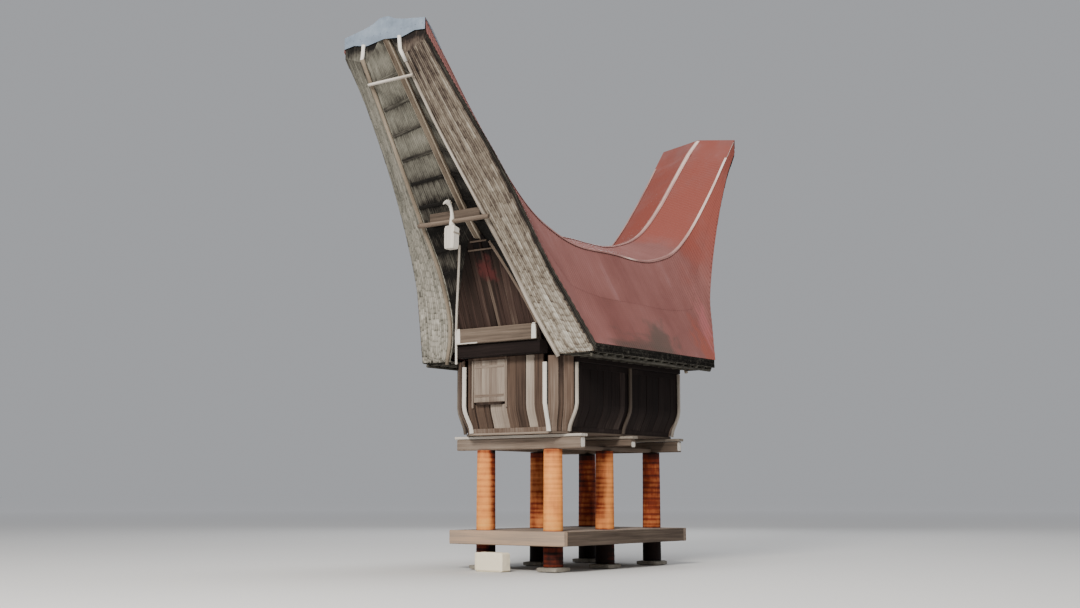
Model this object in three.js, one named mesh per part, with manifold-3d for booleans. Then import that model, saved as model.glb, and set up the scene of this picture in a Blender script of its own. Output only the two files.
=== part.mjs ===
// A rice barn in tongkonan form: a small timber granary on six palm posts, with a sitting deck
// between the posts and a boat-shaped roof whose two prows rise far out over the gables.
// Millimetres, +Z up. The front looks along -Y. The origin is on the ground, in the middle of the length.
import * as THREE from 'three';
import { mergeVertices } from 'three/addons/utils/BufferGeometryUtils.js';
import Module from 'manifold-3d';

const wasm = await Module();
wasm.setup();

// Clearance between pieces that touch
const GAP = 0.3;

// Posts: two rows of three
const POST_X = 785;
const POST_Y = 1640;
const POST_TOP = 2207;
const POST_RADIUS_TOP = 174;
const POST_RADIUS_FOOT = 187;
const POST_SIDES = 16;

// Flat stones under the posts, and the block that stands before the deck as a step
const FOOTING = { width: 470, height: 90 };
const STEP = { left: -500, right: 150, front: -2330, back: -2060, height: 350 };

// Sitting deck: planks on three joists that pass through the posts, inside four deep edge beams
const DECK = { halfWidth: 1335, halfLength: 2050, top: 730, edgeDepth: 260, edgeThickness: 100 };
const PLANK_THICKNESS = 50;
const JOIST = { width: 120, depth: 170 };

// Beams on the post heads: one along each row, three across, and a plank on each of those three
const SIDE_BEAM = { width: 130, top: 2290 };
const CROSS_BEAM = { thickness: 150, halfLength: 1450, top: 2420 };
const CROSS_PLANK = { width: 190, halfLength: 1490, top: 2475 };

// Granary: eight wall panels round an eight-cornered floor
const FLOOR_TOP = 2515;
const SILL_LIP = 22;
const WALL_THICKNESS = 45;
const FRONT_CORNER = { x: 1000, y: 2080, tuckX: 80, tuckY: 130 };
const SIDE_CORNER = { x: 1370, y: 1790, tuckX: 170, tuckY: 100 };
const TUCK_TOP = 3020;
const SIDE_WALL_TOP = 3760;
const END_WALL_TOP = 3910;
const RIB = { width: 90, proud: 50, rooted: 4, endInset: 8 };
const PILASTER = { width: 105, proud: 48, top: 3760 };

// Loading hatch in the left half of the front wall
const HATCH = { left: -730, right: 20, bottom: 3080, top: 3860, play: 2, thickness: 40, proud: 15 };
const LEDGE = { left: -660, right: -5, depth: 62, height: 50 };

// Plates that carry the eaves, and beams that carry the gables
const EAVE_SEAT = 3880;
const PLATE = { inner: 1290, outer: 1430, halfLength: 1755 };
const GABLE_BEAM = { halfWidth: 980, back: 2060, front: 2300, top: 4150 };

// Gable: a triangle of boards that leans out over a base board
const GABLE = {
  foot: 2280, footHeight: 4300, lean: 0.369, thickness: 60, halfWidth: 980, top: 6085, topHalfWidth: 100,
};
const BASE_BOARD = { halfWidth: 930, front: 2370, back: 2270, top: 4450 };

// Roof: each value below is given at distances from the middle of the house, [distance, value]
const ROOF_END = 5400;
const VERGE_FOOT = 2070;
const INNER_FOOT = 2170;
const RIDGE_Z = profile([
  [0, 6420], [1200, 6430], [2100, 6670], [2700, 6980], [3420, 7570], [4800, 8930], [ROOF_END, 9420],
]);
const CREASE_X = profile([[0, 1000], [ROOF_END, 940]]);
const CREASE_DROP = profile([[0, 400], [4200, 400], [4900, 300], [ROOF_END, 140]]);
const OUTER_X = profile([
  [VERGE_FOOT, 2060], [2430, 1820], [2820, 1580], [3670, 1310], [4770, 1040], [ROOF_END, 965],
]);
const OUTER_Z = profile([[VERGE_FOOT, 4040], [2820, 5460], [3670, 6890], [4770, 8310], [ROOF_END, 9040]]);
const EDGE_DROP = profile([[VERGE_FOOT, 4040 - EAVE_SEAT], [ROOF_END, 100]]);
const EDGE_SETBACK = 20;
const INNER_X = profile([
  [INNER_FOOT, 1240], [2290, 1070], [2510, 920], [2940, 790], [3500, 690], [4590, 500], [ROOF_END, 400],
]);
const INNER_Z = profile([
  [INNER_FOOT, EAVE_SEAT], [2290, 4270], [2510, 4750], [2940, 5460], [3500, 6170], [4590, 7600],
  [ROOF_END, 8750],
]);
const CEILING_Z = profile([
  [0, 5600], [1500, 5600], [2300, 5720], [2970, 6270], [3540, 6930], [4440, 8080], [ROOF_END, 9320],
]);
const HALF_STATIONS = [
  0, 600, 1200, 1700, VERGE_FOOT, 2120, INNER_FOOT, 2230, 2290, 2400, 2510, 2700, 2940, 3200, 3500, 3750,
  4000, 4300, 4590, 4900, 5150, ROOF_END,
];
const STATIONS = [...HALF_STATIONS.slice(1).reverse().map((distance) => -distance), ...HALF_STATIONS];

// The rear prow is shorter: what lies behind the foot of the rear verge keeps this share of its length
const REAR_SHARE = 0.88;

// Ridge beam in the peak of the ceiling
const RIDGE_BEAM = { width: 120, depth: 180, end: 5350 };

// Poles along the inner edges of the prows, bars across them, and the sheet cap on each tip
const POLE = { radius: 46, sides: 8, seat: 0.82, footReach: 70, tipReach: 110 };
const CROSSPIECE = { distance: 3560, radius: 48, left: -745, right: 875 };
const UPPER_BAR = { distance: 5190, radius: 36, left: -480, right: 540 };
const BAR_NOTCH = 8;
const CAP = { start: 4900, thickness: 12, fasciaThickness: 15 };

// Half of the cap's outline at its front, from the middle outward: [share of the half width, drop]
const HOOD_LINE = [[0, -60], [0.12, -50], [0.27, 20], [0.5, 70], [1, 140]];
const FASCIA_FOOT = [[0, 325], [0.43, 375], [0.75, 310], [1, 335]];

// Beam-end block with a carved bird's neck and head, on the crosspiece
const FIGURE = { blockWidth: 230, neckWidth: 80, centre: 50 };

// Colours of the weathered finishes
const COLOURS = {
  palm: 0x8a5a3c,
  timber: 0x7d7368,
  boards: 0x8b7f78,
  gableBoards: 0x5e3a34,
  paintedWhite: 0xd8d4cb,
  bamboo: 0x9c9383,
  roofRed: 0x94584f,
  zincSheet: 0x9aa6b2,
  stone: 0xb9b4aa,
};

// A smooth value along the house through [distance, value] points, the same to the front and the rear
function profile(points) {
  const slopeAt = (i) => {
    const before = points[Math.max(i - 1, 0)];
    const after = points[Math.min(i + 1, points.length - 1)];
    return (after[1] - before[1]) / (after[0] - before[0]);
  };
  return (place) => {
    const distance = THREE.MathUtils.clamp(Math.abs(place), points[0][0], points.at(-1)[0]);
    let i = 0;
    while (i < points.length - 2 && distance > points[i + 1][0]) i += 1;
    const span = points[i + 1][0] - points[i][0];
    const t = (distance - points[i][0]) / span;
    const startShare = (1 + 2 * t) * (1 - t) ** 2;
    const endShare = t * t * (3 - 2 * t);
    const startSlope = t * (1 - t) ** 2 * span * slopeAt(i);
    const endSlope = t * t * (t - 1) * span * slopeAt(i + 1);
    return startShare * points[i][1] + endShare * points[i + 1][1] + startSlope + endSlope;
  };
}

// A closed solid through rings of points, all with the same count and turning the same way
function ringSolid(rings) {
  const count = rings[0].length;
  const points = rings.flat();
  const faces = [];
  for (let ring = 0; ring + 1 < rings.length; ring += 1) {
    for (let k = 0; k < count; k += 1) {
      const a = ring * count + k;
      const b = ring * count + ((k + 1) % count);
      faces.push([a, b, b + count], [a, b + count, a + count]);
    }
  }
  faces.push(...ringCap(rings[0], 0, true), ...ringCap(rings.at(-1), points.length - count, false));
  const outward = signedVolume(points, faces) > 0;
  const index = faces.flatMap(([a, b, c]) => (outward ? [a, b, c] : [a, c, b]));
  const geometry = new THREE.BufferGeometry();
  geometry.setAttribute('position', new THREE.Float32BufferAttribute(points.flat(), 3));
  geometry.setIndex(index);
  return geometry;
}

// The triangles that close one end of a ring solid
function ringCap(ring, offset, reversed) {
  const corners = ring.map((point) => new THREE.Vector3(...point));
  const centre = corners.reduce((sum, corner) => sum.add(corner), new THREE.Vector3());
  centre.divideScalar(ring.length);
  const normal = new THREE.Vector3();
  corners.forEach((corner, k) => {
    const next = corners[(k + 1) % corners.length];
    normal.add(corner.clone().sub(centre).cross(next.clone().sub(centre)));
  });
  normal.normalize();
  const across = corners[1].clone().sub(corners[0]).projectOnPlane(normal).normalize();
  const up = normal.clone().cross(across);
  const flat = corners.map((corner) => new THREE.Vector2(corner.dot(across), corner.dot(up)));
  return THREE.ShapeUtils.triangulateShape(flat, []).map(([a, b, c]) => (
    reversed ? [a + offset, c + offset, b + offset] : [a + offset, b + offset, c + offset]
  ));
}

function signedVolume(points, faces) {
  return faces.reduce((sum, [a, b, c]) => {
    const p = new THREE.Vector3(...points[a]);
    const q = new THREE.Vector3(...points[b]);
    return sum + p.dot(q.cross(new THREE.Vector3(...points[c])));
  }, 0);
}

// A box between two opposite corners
function box(x0, x1, y0, y1, z0, z1) {
  const geometry = new THREE.BoxGeometry(x1 - x0, y1 - y0, z1 - z0);
  return geometry.translate((x0 + x1) / 2, (y0 + y1) / 2, (z0 + z1) / 2);
}

// An upright round post, and a round bar that lies along X
function uprightCylinder(radiusTop, radiusFoot, bottom, top, x, y) {
  const geometry = new THREE.CylinderGeometry(radiusTop, radiusFoot, top - bottom, POST_SIDES);
  return geometry.rotateX(Math.PI / 2).translate(x, y, (bottom + top) / 2);
}

function barAlongX(radius, left, right, y, z) {
  const geometry = new THREE.CylinderGeometry(radius, radius, right - left, 12);
  return geometry.rotateZ(Math.PI / 2).translate((left + right) / 2, y, z);
}

// Cuts and joins of closed shapes
function toSolid(geometry) {
  const bare = geometry.clone();
  bare.deleteAttribute('normal');
  bare.deleteAttribute('uv');
  const merged = mergeVertices(bare, 1e-3);
  const vertProperties = new Float32Array(merged.attributes.position.array);
  const triVerts = new Uint32Array(merged.index.array);
  return new wasm.Manifold(new wasm.Mesh({ numProp: 3, vertProperties, triVerts }));
}

function fromSolid(solid) {
  const mesh = solid.getMesh();
  const geometry = new THREE.BufferGeometry();
  geometry.setAttribute('position', new THREE.BufferAttribute(new Float32Array(mesh.vertProperties), 3));
  geometry.setIndex(new THREE.BufferAttribute(new Uint32Array(mesh.triVerts), 1));
  return geometry;
}

function join(geometries) {
  return fromSolid(geometries.map(toSolid).reduce((sum, solid) => sum.add(solid)));
}

function cut(geometry, cutters) {
  return fromSolid(cutters.map(toSolid).reduce((rest, cutter) => rest.subtract(cutter), toSolid(geometry)));
}

const barn = new THREE.Group();

function add(name, geometry, colour, metalness = 0, roughness = 0.85) {
  const material = new THREE.MeshStandardMaterial({ color: colour, roughness, metalness });
  const flat = geometry.index ? geometry.toNonIndexed() : geometry;
  flat.computeVertexNormals();
  const mesh = new THREE.Mesh(flat, material);
  mesh.name = name;
  barn.add(mesh);
  return mesh;
}

const SIDES = [['left', -1], ['right', 1]];
const ENDS = [['front', -1], ['rear', 1]];
const ROWS = [['front', -1], ['middle', 0], ['rear', 1]];

// A deck joist through the two posts of a row; with play, the slot that it needs in them
function joist(along, play = 0) {
  const halfLength = DECK.halfWidth - DECK.edgeThickness - GAP;
  const y = along * POST_Y;
  const top = DECK.top - PLANK_THICKNESS;
  return box(
    -halfLength, halfLength, y - JOIST.width / 2 - play, y + JOIST.width / 2 + play,
    top - JOIST.depth - play, top + play,
  );
}

// Footings, slotted posts and step
for (const [row, along] of ROWS) {
  for (const [side, across] of SIDES) {
    const x = across * POST_X;
    const y = along * POST_Y;
    const half = FOOTING.width / 2;
    const footing = box(x - half, x + half, y - half, y + half, 0, FOOTING.height);
    add(`footing_${row}_${side}`, footing, COLOURS.stone);
    const trunk = uprightCylinder(POST_RADIUS_TOP, POST_RADIUS_FOOT, FOOTING.height + GAP, POST_TOP, x, y);
    add(`post_${row}_${side}`, cut(trunk, [joist(along, GAP)]), COLOURS.palm);
  }
}
add('step_stone', box(STEP.left, STEP.right, STEP.front, STEP.back, 0, STEP.height), COLOURS.stone);

// Sitting deck: planks with a round hole for each post, joined to the joists
function deckFloor() {
  const halfWidth = DECK.halfWidth - DECK.edgeThickness - GAP;
  const halfLength = DECK.halfLength - DECK.edgeThickness - GAP;
  const bottom = DECK.top - PLANK_THICKNESS;
  const planks = box(-halfWidth, halfWidth, -halfLength, halfLength, bottom, DECK.top);
  const postHoles = ROWS.flatMap(([, along]) => SIDES.map(([, across]) => uprightCylinder(
    POST_RADIUS_FOOT, POST_RADIUS_FOOT, bottom - PLANK_THICKNESS, DECK.top + PLANK_THICKNESS,
    across * POST_X, along * POST_Y,
  )));
  return join([cut(planks, postHoles), ...ROWS.map(([, along]) => joist(along))]);
}
add('deck_floor', deckFloor(), COLOURS.timber);

const deckEdgeBottom = DECK.top - DECK.edgeDepth;
for (const [end, along] of ENDS) {
  const outer = along * DECK.halfLength;
  const inner = along * (DECK.halfLength - DECK.edgeThickness);
  const beam = box(
    -DECK.halfWidth, DECK.halfWidth,
    Math.min(outer, inner), Math.max(outer, inner), deckEdgeBottom, DECK.top,
  );
  add(`deck_edge_${end}`, beam, COLOURS.timber);
}
for (const [side, across] of SIDES) {
  const outer = across * DECK.halfWidth;
  const inner = across * (DECK.halfWidth - DECK.edgeThickness);
  const halfLength = DECK.halfLength - DECK.edgeThickness - GAP;
  const beam = box(
    Math.min(outer, inner), Math.max(outer, inner), -halfLength, halfLength, deckEdgeBottom, DECK.top,
  );
  add(`deck_edge_${side}`, beam, COLOURS.timber);
}

// Beams on the posts: each side beam ends against the deeper end beams and carries the middle one
for (const [side, across] of SIDES) {
  const x = across * POST_X;
  const half = SIDE_BEAM.width / 2;
  const halfLength = POST_Y - CROSS_BEAM.thickness / 2 - GAP;
  const beam = box(x - half, x + half, -halfLength, halfLength, POST_TOP + GAP, SIDE_BEAM.top);
  add(`side_beam_${side}`, beam, COLOURS.timber);
}
for (const [row, along] of ROWS) {
  const y = along * POST_Y;
  const seat = along === 0 ? SIDE_BEAM.top : POST_TOP;
  const beam = box(
    -CROSS_BEAM.halfLength, CROSS_BEAM.halfLength,
    y - CROSS_BEAM.thickness / 2, y + CROSS_BEAM.thickness / 2, seat + GAP, CROSS_BEAM.top,
  );
  const plank = box(
    -CROSS_PLANK.halfLength, CROSS_PLANK.halfLength,
    y - CROSS_PLANK.width / 2, y + CROSS_PLANK.width / 2, CROSS_BEAM.top, CROSS_PLANK.top,
  );
  add(`cross_beam_${row}`, join([beam, plank]), COLOURS.timber);
}

// How far the walls are drawn in at a height: fully at the floor, not at all above the curve
function tuckAt(z) {
  return 1 - THREE.MathUtils.smoothstep(z, FLOOR_TOP, TUCK_TOP);
}

// The eight outer corners of the granary at a height, anticlockwise from the front left
function granaryCorners(z) {
  const tuck = tuckAt(z);
  const endX = FRONT_CORNER.x - FRONT_CORNER.tuckX * tuck;
  const endY = FRONT_CORNER.y - FRONT_CORNER.tuckY * tuck;
  const sideX = SIDE_CORNER.x - SIDE_CORNER.tuckX * tuck;
  const sideY = SIDE_CORNER.y - SIDE_CORNER.tuckY * tuck;
  return [
    [-endX, -endY], [endX, -endY], [sideX, -sideY], [sideX, sideY],
    [endX, endY], [-endX, endY], [-sideX, sideY], [-sideX, -sideY],
  ].map(([x, y]) => new THREE.Vector2(x, y));
}

// The same corners moved out square to every wall, or in where the distance is negative
function offsetCorners(corners, distance) {
  return corners.map((corner, k) => {
    const before = corners[(k + corners.length - 1) % corners.length];
    const after = corners[(k + 1) % corners.length];
    const outOf = (from, to) => new THREE.Vector2(to.y - from.y, from.x - to.x).normalize();
    const first = outOf(before, corner);
    const second = outOf(corner, after);
    const middle = first.clone().add(second).normalize();
    return corner.clone().addScaledVector(middle, distance / middle.dot(first));
  });
}

const WALL_HEIGHTS = [0, 0.18, 0.35, 0.5, 0.65, 0.82, 1].map((share) => (
  THREE.MathUtils.lerp(FLOOR_TOP + GAP, TUCK_TOP, share)
));

// One wall panel, mitred at both ends, that follows the drawn-in foot of the walls
function wallPanel(index, top) {
  return ringSolid([...WALL_HEIGHTS, top].map((z) => {
    const outer = granaryCorners(z);
    const inner = offsetCorners(outer, -WALL_THICKNESS);
    const next = (index + 1) % outer.length;
    const inset = outer[next].clone().sub(outer[index]).normalize().multiplyScalar(GAP);
    return [
      outer[index].clone().add(inset), outer[next].clone().sub(inset),
      inner[next].clone().sub(inset), inner[index].clone().add(inset),
    ].map((point) => [point.x, point.y, z]);
  }));
}

// An upright strip on the face of a wall, from one place along the wall to another
function wallStrip(index, start, end, bottomDepth, proud, top) {
  return ringSolid([...WALL_HEIGHTS, top].map((z) => {
    const corners = granaryCorners(z);
    const from = corners[index];
    const to = corners[(index + 1) % corners.length];
    const along = to.clone().sub(from).normalize();
    const outward = new THREE.Vector2(along.y, -along.x);
    const length = from.distanceTo(to);
    const at = (place, depth) => {
      const point = from.clone().addScaledVector(along, place(length)).addScaledVector(outward, depth);
      return [point.x, point.y, z];
    };
    return [at(start, bottomDepth), at(end, bottomDepth), at(end, proud), at(start, proud)];
  }));
}

// Floor of the granary, with the lip that shows as a sill under the walls
const floorOutline = offsetCorners(granaryCorners(FLOOR_TOP), SILL_LIP);
const granaryFloor = ringSolid([CROSS_PLANK.top + GAP, FLOOR_TOP].map((z) => (
  floorOutline.map((corner) => [corner.x, corner.y, z])
)));
add('granary_floor', granaryFloor, COLOURS.timber);

// Front wall with its hatch, and the plain rear wall
const hatchOpening = box(
  HATCH.left, HATCH.right, -FRONT_CORNER.y - RIB.proud, -FRONT_CORNER.y + 2 * WALL_THICKNESS,
  HATCH.bottom, HATCH.top,
);
const ledge = box(
  LEDGE.left, LEDGE.right, -FRONT_CORNER.y - LEDGE.depth, -FRONT_CORNER.y + WALL_THICKNESS / 2,
  HATCH.bottom - LEDGE.height, HATCH.bottom,
);
add('front_wall', cut(join([wallPanel(0, END_WALL_TOP), ledge]), [hatchOpening]), COLOURS.boards);
const hatchFront = -FRONT_CORNER.y - HATCH.proud;
const hatchDoor = box(
  HATCH.left + HATCH.play, HATCH.right - HATCH.play, hatchFront, hatchFront + HATCH.thickness,
  HATCH.bottom + GAP, HATCH.top - HATCH.play,
);
add('hatch_door', hatchDoor, COLOURS.boards);
add('rear_wall', wallPanel(4, END_WALL_TOP), COLOURS.boards);

// Side walls, each with a rib at its two ends and one at its middle
for (const [side, index] of [['right', 2], ['left', 6]]) {
  const ribs = [0, 0.5, 1].map((share) => {
    const start = (length) => THREE.MathUtils.lerp(RIB.endInset, length - RIB.endInset - RIB.width, share);
    const end = (length) => start(length) + RIB.width;
    return wallStrip(index, start, end, -RIB.rooted, RIB.proud, SIDE_WALL_TOP);
  });
  add(`${side}_wall`, join([wallPanel(index, SIDE_WALL_TOP), ...ribs]), COLOURS.boards);
}

// Slanting corner panels, and the pilasters at both edges of the end walls
for (const [name, index] of [['front_right', 1], ['rear_right', 3], ['rear_left', 5], ['front_left', 7]]) {
  add(`corner_panel_${name}`, wallPanel(index, EAVE_SEAT - GAP), COLOURS.boards);
}
for (const [end, index] of [['front', 0], ['rear', 4]]) {
  const first = wallStrip(index, () => 0, () => PILASTER.width, GAP, PILASTER.proud, PILASTER.top);
  const last = wallStrip(
    index, (length) => length - PILASTER.width, (length) => length, GAP, PILASTER.proud, PILASTER.top,
  );
  const [left, right] = end === 'front' ? [first, last] : [last, first];
  add(`pilaster_${end}_left`, left, COLOURS.paintedWhite);
  add(`pilaster_${end}_right`, right, COLOURS.paintedWhite);
}

// The roof and all that it carries is made alike to the front and the rear, then drawn in at the rear
function drawnIn(geometry) {
  const places = geometry.attributes.position;
  for (let i = 0; i < places.count; i += 1) {
    const past = places.getY(i) - VERGE_FOOT;
    if (past > 0) places.setY(i, VERGE_FOOT + past * REAR_SHARE);
  }
  return geometry;
}

// Plates under the eaves and beams under the gables
for (const [side, across] of SIDES) {
  const inner = across * PLATE.inner;
  const outer = across * PLATE.outer;
  const plate = box(
    Math.min(inner, outer), Math.max(inner, outer),
    -PLATE.halfLength, PLATE.halfLength, SIDE_WALL_TOP + GAP, EAVE_SEAT - GAP,
  );
  add(`eave_plate_${side}`, plate, COLOURS.timber);
}
for (const [end, along] of ENDS) {
  const beam = box(
    -GABLE_BEAM.halfWidth, GABLE_BEAM.halfWidth,
    Math.min(along * GABLE_BEAM.back, along * GABLE_BEAM.front),
    Math.max(along * GABLE_BEAM.back, along * GABLE_BEAM.front),
    END_WALL_TOP + GAP, GABLE_BEAM.top,
  );
  add(`gable_beam_${end}`, drawnIn(beam), COLOURS.timber);
}

// The right half of the roof's cross-section at a place along the house, from the ridge round to the
// peak of the ceiling. The play lowers the inner faces and closes the joint between the halves, for
// cutting the pieces that lie against the roof.
function roofSection(y, play = 0) {
  const creaseHeight = RIDGE_Z(y) - CREASE_DROP(y);
  return [
    [GAP / 2 - play, RIDGE_Z(y)],
    [CREASE_X(y), creaseHeight],
    [OUTER_X(y), OUTER_Z(y)],
    [OUTER_X(y) - EDGE_SETBACK, OUTER_Z(y) - EDGE_DROP(y) - play],
    [INNER_X(y), INNER_Z(y) - play],
    [GAP / 2 - play, CEILING_Z(y) - play],
  ];
}

// Each half is built from both tips inward, so that the front and the rear are faceted alike
function roofHalf(across, play = 0) {
  const length = (places) => ringSolid(
    places.map((y) => roofSection(y, play).map(([x, z]) => [across * x, y, z])),
  );
  return join([
    length(STATIONS.filter((y) => y <= 0)),
    length(STATIONS.filter((y) => y >= 0).reverse()),
  ]);
}

for (const [side, across] of SIDES) {
  add(`roof_${side}`, drawnIn(roofHalf(across)), COLOURS.roofRed);
}
const roofCutters = SIDES.map(([, across]) => roofHalf(across, 2 * GAP));

// Ridge beam, cut to fit the peak of the ceiling
function ridgeBeam(play = 0) {
  const half = RIDGE_BEAM.width / 2 + play;
  const places = STATIONS.filter((y) => Math.abs(y) < ROOF_END);
  return ringSolid([-RIDGE_BEAM.end, ...places, RIDGE_BEAM.end].map((y) => {
    const foot = CEILING_Z(y) - RIDGE_BEAM.depth - play;
    const top = CEILING_Z(y);
    return [[half, top], [half, foot], [-half, foot], [-half, top]].map(([x, z]) => [x, y, z]);
  }));
}
add('ridge_beam', drawnIn(cut(ridgeBeam(), roofCutters)), COLOURS.timber);

// Gables: a leaning triangle of boards, fitted under the ceiling, on a base board
function gable(along) {
  const faceAt = (z) => GABLE.foot + GABLE.lean * (z - GABLE.footHeight);
  const foot = GABLE_BEAM.top + 2 * GAP;
  const boards = (setback) => [
    [-GABLE.halfWidth, foot], [GABLE.halfWidth, foot],
    [GABLE.topHalfWidth, GABLE.top], [-GABLE.topHalfWidth, GABLE.top],
  ].map(([x, z]) => [x, along * (faceAt(z) - setback), z]);
  const panel = ringSolid([boards(0), boards(GABLE.thickness)]);
  const board = box(
    -BASE_BOARD.halfWidth, BASE_BOARD.halfWidth,
    Math.min(along * BASE_BOARD.back, along * BASE_BOARD.front),
    Math.max(along * BASE_BOARD.back, along * BASE_BOARD.front),
    GABLE_BEAM.top + GAP, BASE_BOARD.top,
  );
  return cut(join([panel, board]), [...roofCutters, ridgeBeam(GAP)]);
}
for (const [end, along] of ENDS) {
  add(`gable_${end}`, drawnIn(gable(along)), COLOURS.gableBoards);
}

// A place on the pole line of a prow: the point, the way along it, across the band and out of it
function poleFrame(distance, across, along) {
  const pointAt = (d) => new THREE.Vector3(across * INNER_X(d), along * d, INNER_Z(d));
  const reach = 20;
  const low = Math.max(distance - reach, INNER_FOOT);
  const high = Math.min(distance + reach, ROOF_END);
  const tangent = pointAt(high).sub(pointAt(low)).normalize();
  const edge = roofSection(distance)[3];
  const toEdge = new THREE.Vector3(across * edge[0], along * distance, edge[1]).sub(pointAt(distance));
  const band = toEdge.addScaledVector(tangent, -toEdge.dot(tangent)).normalize();
  const outward = tangent.clone().cross(band);
  if (outward.y * along < 0) outward.negate();
  return { point: pointAt(distance), tangent, band, outward };
}

function poleCentre(frame) {
  return frame.point.clone()
    .addScaledVector(frame.band, POLE.radius)
    .addScaledVector(frame.outward, POLE.radius * POLE.seat);
}

function poleTube(across, along, radius) {
  const ringAt = (frame, slide) => Array.from({ length: POLE.sides }, (_, k) => {
    const angle = (2 * Math.PI * (k + 0.5)) / POLE.sides;
    return poleCentre(frame)
      .addScaledVector(frame.tangent, slide)
      .addScaledVector(frame.band, radius * Math.cos(angle))
      .addScaledVector(frame.outward, radius * Math.sin(angle))
      .toArray();
  });
  const frames = HALF_STATIONS.filter((d) => d >= INNER_FOOT).map((d) => poleFrame(d, across, along));
  const rings = frames.map((frame) => ringAt(frame, 0));
  rings.unshift(ringAt(frames[0], -POLE.footReach));
  rings.push(ringAt(frames.at(-1), POLE.tipReach));
  return ringSolid(rings);
}

for (const [end, along] of ENDS) {
  for (const [side, across] of SIDES) {
    const pole = cut(poleTube(across, along, POLE.radius), roofCutters);
    add(`pole_${end}_${side}`, drawnIn(pole), COLOURS.bamboo);
  }
}

// Bars across the two poles of a prow, notched over them
function barPlace(bar) {
  const frame = poleFrame(bar.distance, 1, -1);
  return poleCentre(frame).addScaledVector(frame.outward, POLE.radius + bar.radius - BAR_NOTCH);
}

function poleBar(bar, growth = 0) {
  const place = barPlace(bar);
  return barAlongX(bar.radius + growth, bar.left - growth, bar.right + growth, place.y, place.z);
}
const frontPoleCutters = SIDES.map(([, across]) => poleTube(across, -1, POLE.radius + GAP));

// The block hangs below the crosspiece, and the bird's neck and head rise above it
function figure() {
  const place = barPlace(CROSSPIECE);
  const block = new THREE.Shape();
  block.moveTo(95, -85);
  block.lineTo(-75, -105);
  block.lineTo(-95, -500);
  block.lineTo(60, -490);
  const neck = new THREE.Shape();
  neck.moveTo(70, -120);
  neck.quadraticCurveTo(75, 130, -10, 260);
  neck.quadraticCurveTo(-40, 330, -90, 340);
  neck.lineTo(-190, 310);
  neck.lineTo(-95, 270);
  neck.quadraticCurveTo(-90, 110, -70, -120);
  const cutFromBoard = (shape, width) => {
    const board = new THREE.ExtrudeGeometry(shape, { depth: width, bevelEnabled: false, curveSegments: 5 });
    const left = FIGURE.centre - width / 2;
    return board.rotateX(Math.PI / 2).rotateZ(Math.PI / 2).translate(left, place.y, place.z);
  };
  const whole = join([cutFromBoard(block, FIGURE.blockWidth), cutFromBoard(neck, FIGURE.neckWidth)]);
  return cut(whole, [poleBar(CROSSPIECE, GAP)]);
}

// The sheet cap lies on the slopes of a tip, with a fascia that hangs down in front. A hooded one is
// drawn up into a small peak there.
function tipCap(hooded) {
  const covered = HALF_STATIONS.filter((distance) => distance >= CAP.start);
  const whole = (half) => [...half.slice(1).reverse().map(([x, z]) => [-x, z]), ...half];
  const sheetLine = (distance, offset) => whole(HOOD_LINE.map(([share, drop]) => {
    const rise = hooded ? THREE.MathUtils.smoothstep(distance, CAP.start, ROOF_END) : 0;
    const fall = THREE.MathUtils.lerp(CREASE_DROP(distance) * share, drop, rise);
    return [(CREASE_X(distance) + offset) * share, RIDGE_Z(distance) + 2 * GAP + offset - fall];
  }));
  const footLine = whole(FASCIA_FOOT.map(([share, drop]) => (
    [CREASE_X(ROOF_END) * share, RIDGE_Z(ROOF_END) - drop]
  )));
  const sheet = ringSolid([...covered, ROOF_END + GAP + CAP.fasciaThickness].map((distance) => (
    [...sheetLine(distance, CAP.thickness), ...sheetLine(distance, 0).reverse()]
      .map(([x, z]) => [x, -distance, z])
  )));
  const fascia = ringSolid([GAP, GAP + CAP.fasciaThickness].map((reach) => (
    [...sheetLine(ROOF_END, CAP.thickness / 2), ...footLine.toReversed()]
      .map(([x, z]) => [x, -ROOF_END - reach, z])
  )));
  return join([sheet, fascia]);
}

// The prow fittings are made for the front, and turned half round for the rear. Only the front tip has
// a hood of zinc sheet.
const prowFittings = [
  ['crosspiece', cut(poleBar(CROSSPIECE), frontPoleCutters), COLOURS.timber, 0],
  ['upper_bar', cut(poleBar(UPPER_BAR), frontPoleCutters), COLOURS.paintedWhite, 0],
  ['bird_figure', figure(), COLOURS.paintedWhite, 0],
];
const tipCaps = {
  front: ['tip_cap', tipCap(true), COLOURS.zincSheet, 0.6],
  rear: ['tip_cap', tipCap(false), COLOURS.roofRed, 0.3],
};
for (const [end, along] of ENDS) {
  for (const [name, geometry, colour, metalness] of [...prowFittings, tipCaps[end]]) {
    const turned = geometry.clone().rotateZ(along > 0 ? Math.PI : 0);
    add(`${name}_${end}`, drawnIn(turned), colour, metalness);
  }
}

// The front prow reaches farther than the rear one, so all is moved until the origin is in the middle
const extent = new THREE.Box3().setFromObject(barn);
const middle = (extent.min.y + extent.max.y) / 2;
for (const piece of barn.children) piece.geometry.translate(0, -middle, 0);

export default barn;
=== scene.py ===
# %% [markdown]
# # A rice barn in tongkonan form
# The barn keeps a family's rice above the ground, on six round palm posts, and people sit on the deck
# between them. Its roof is built up from layers of split bamboo under thin painted sheet, and both of
# its ends rise in long prows. Each step below says what a piece is on the real barn, how it could be
# made in Blender, and why it is made the way it is here.

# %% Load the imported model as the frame
import math

import bpy
import numpy as np
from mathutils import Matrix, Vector, noise


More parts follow.
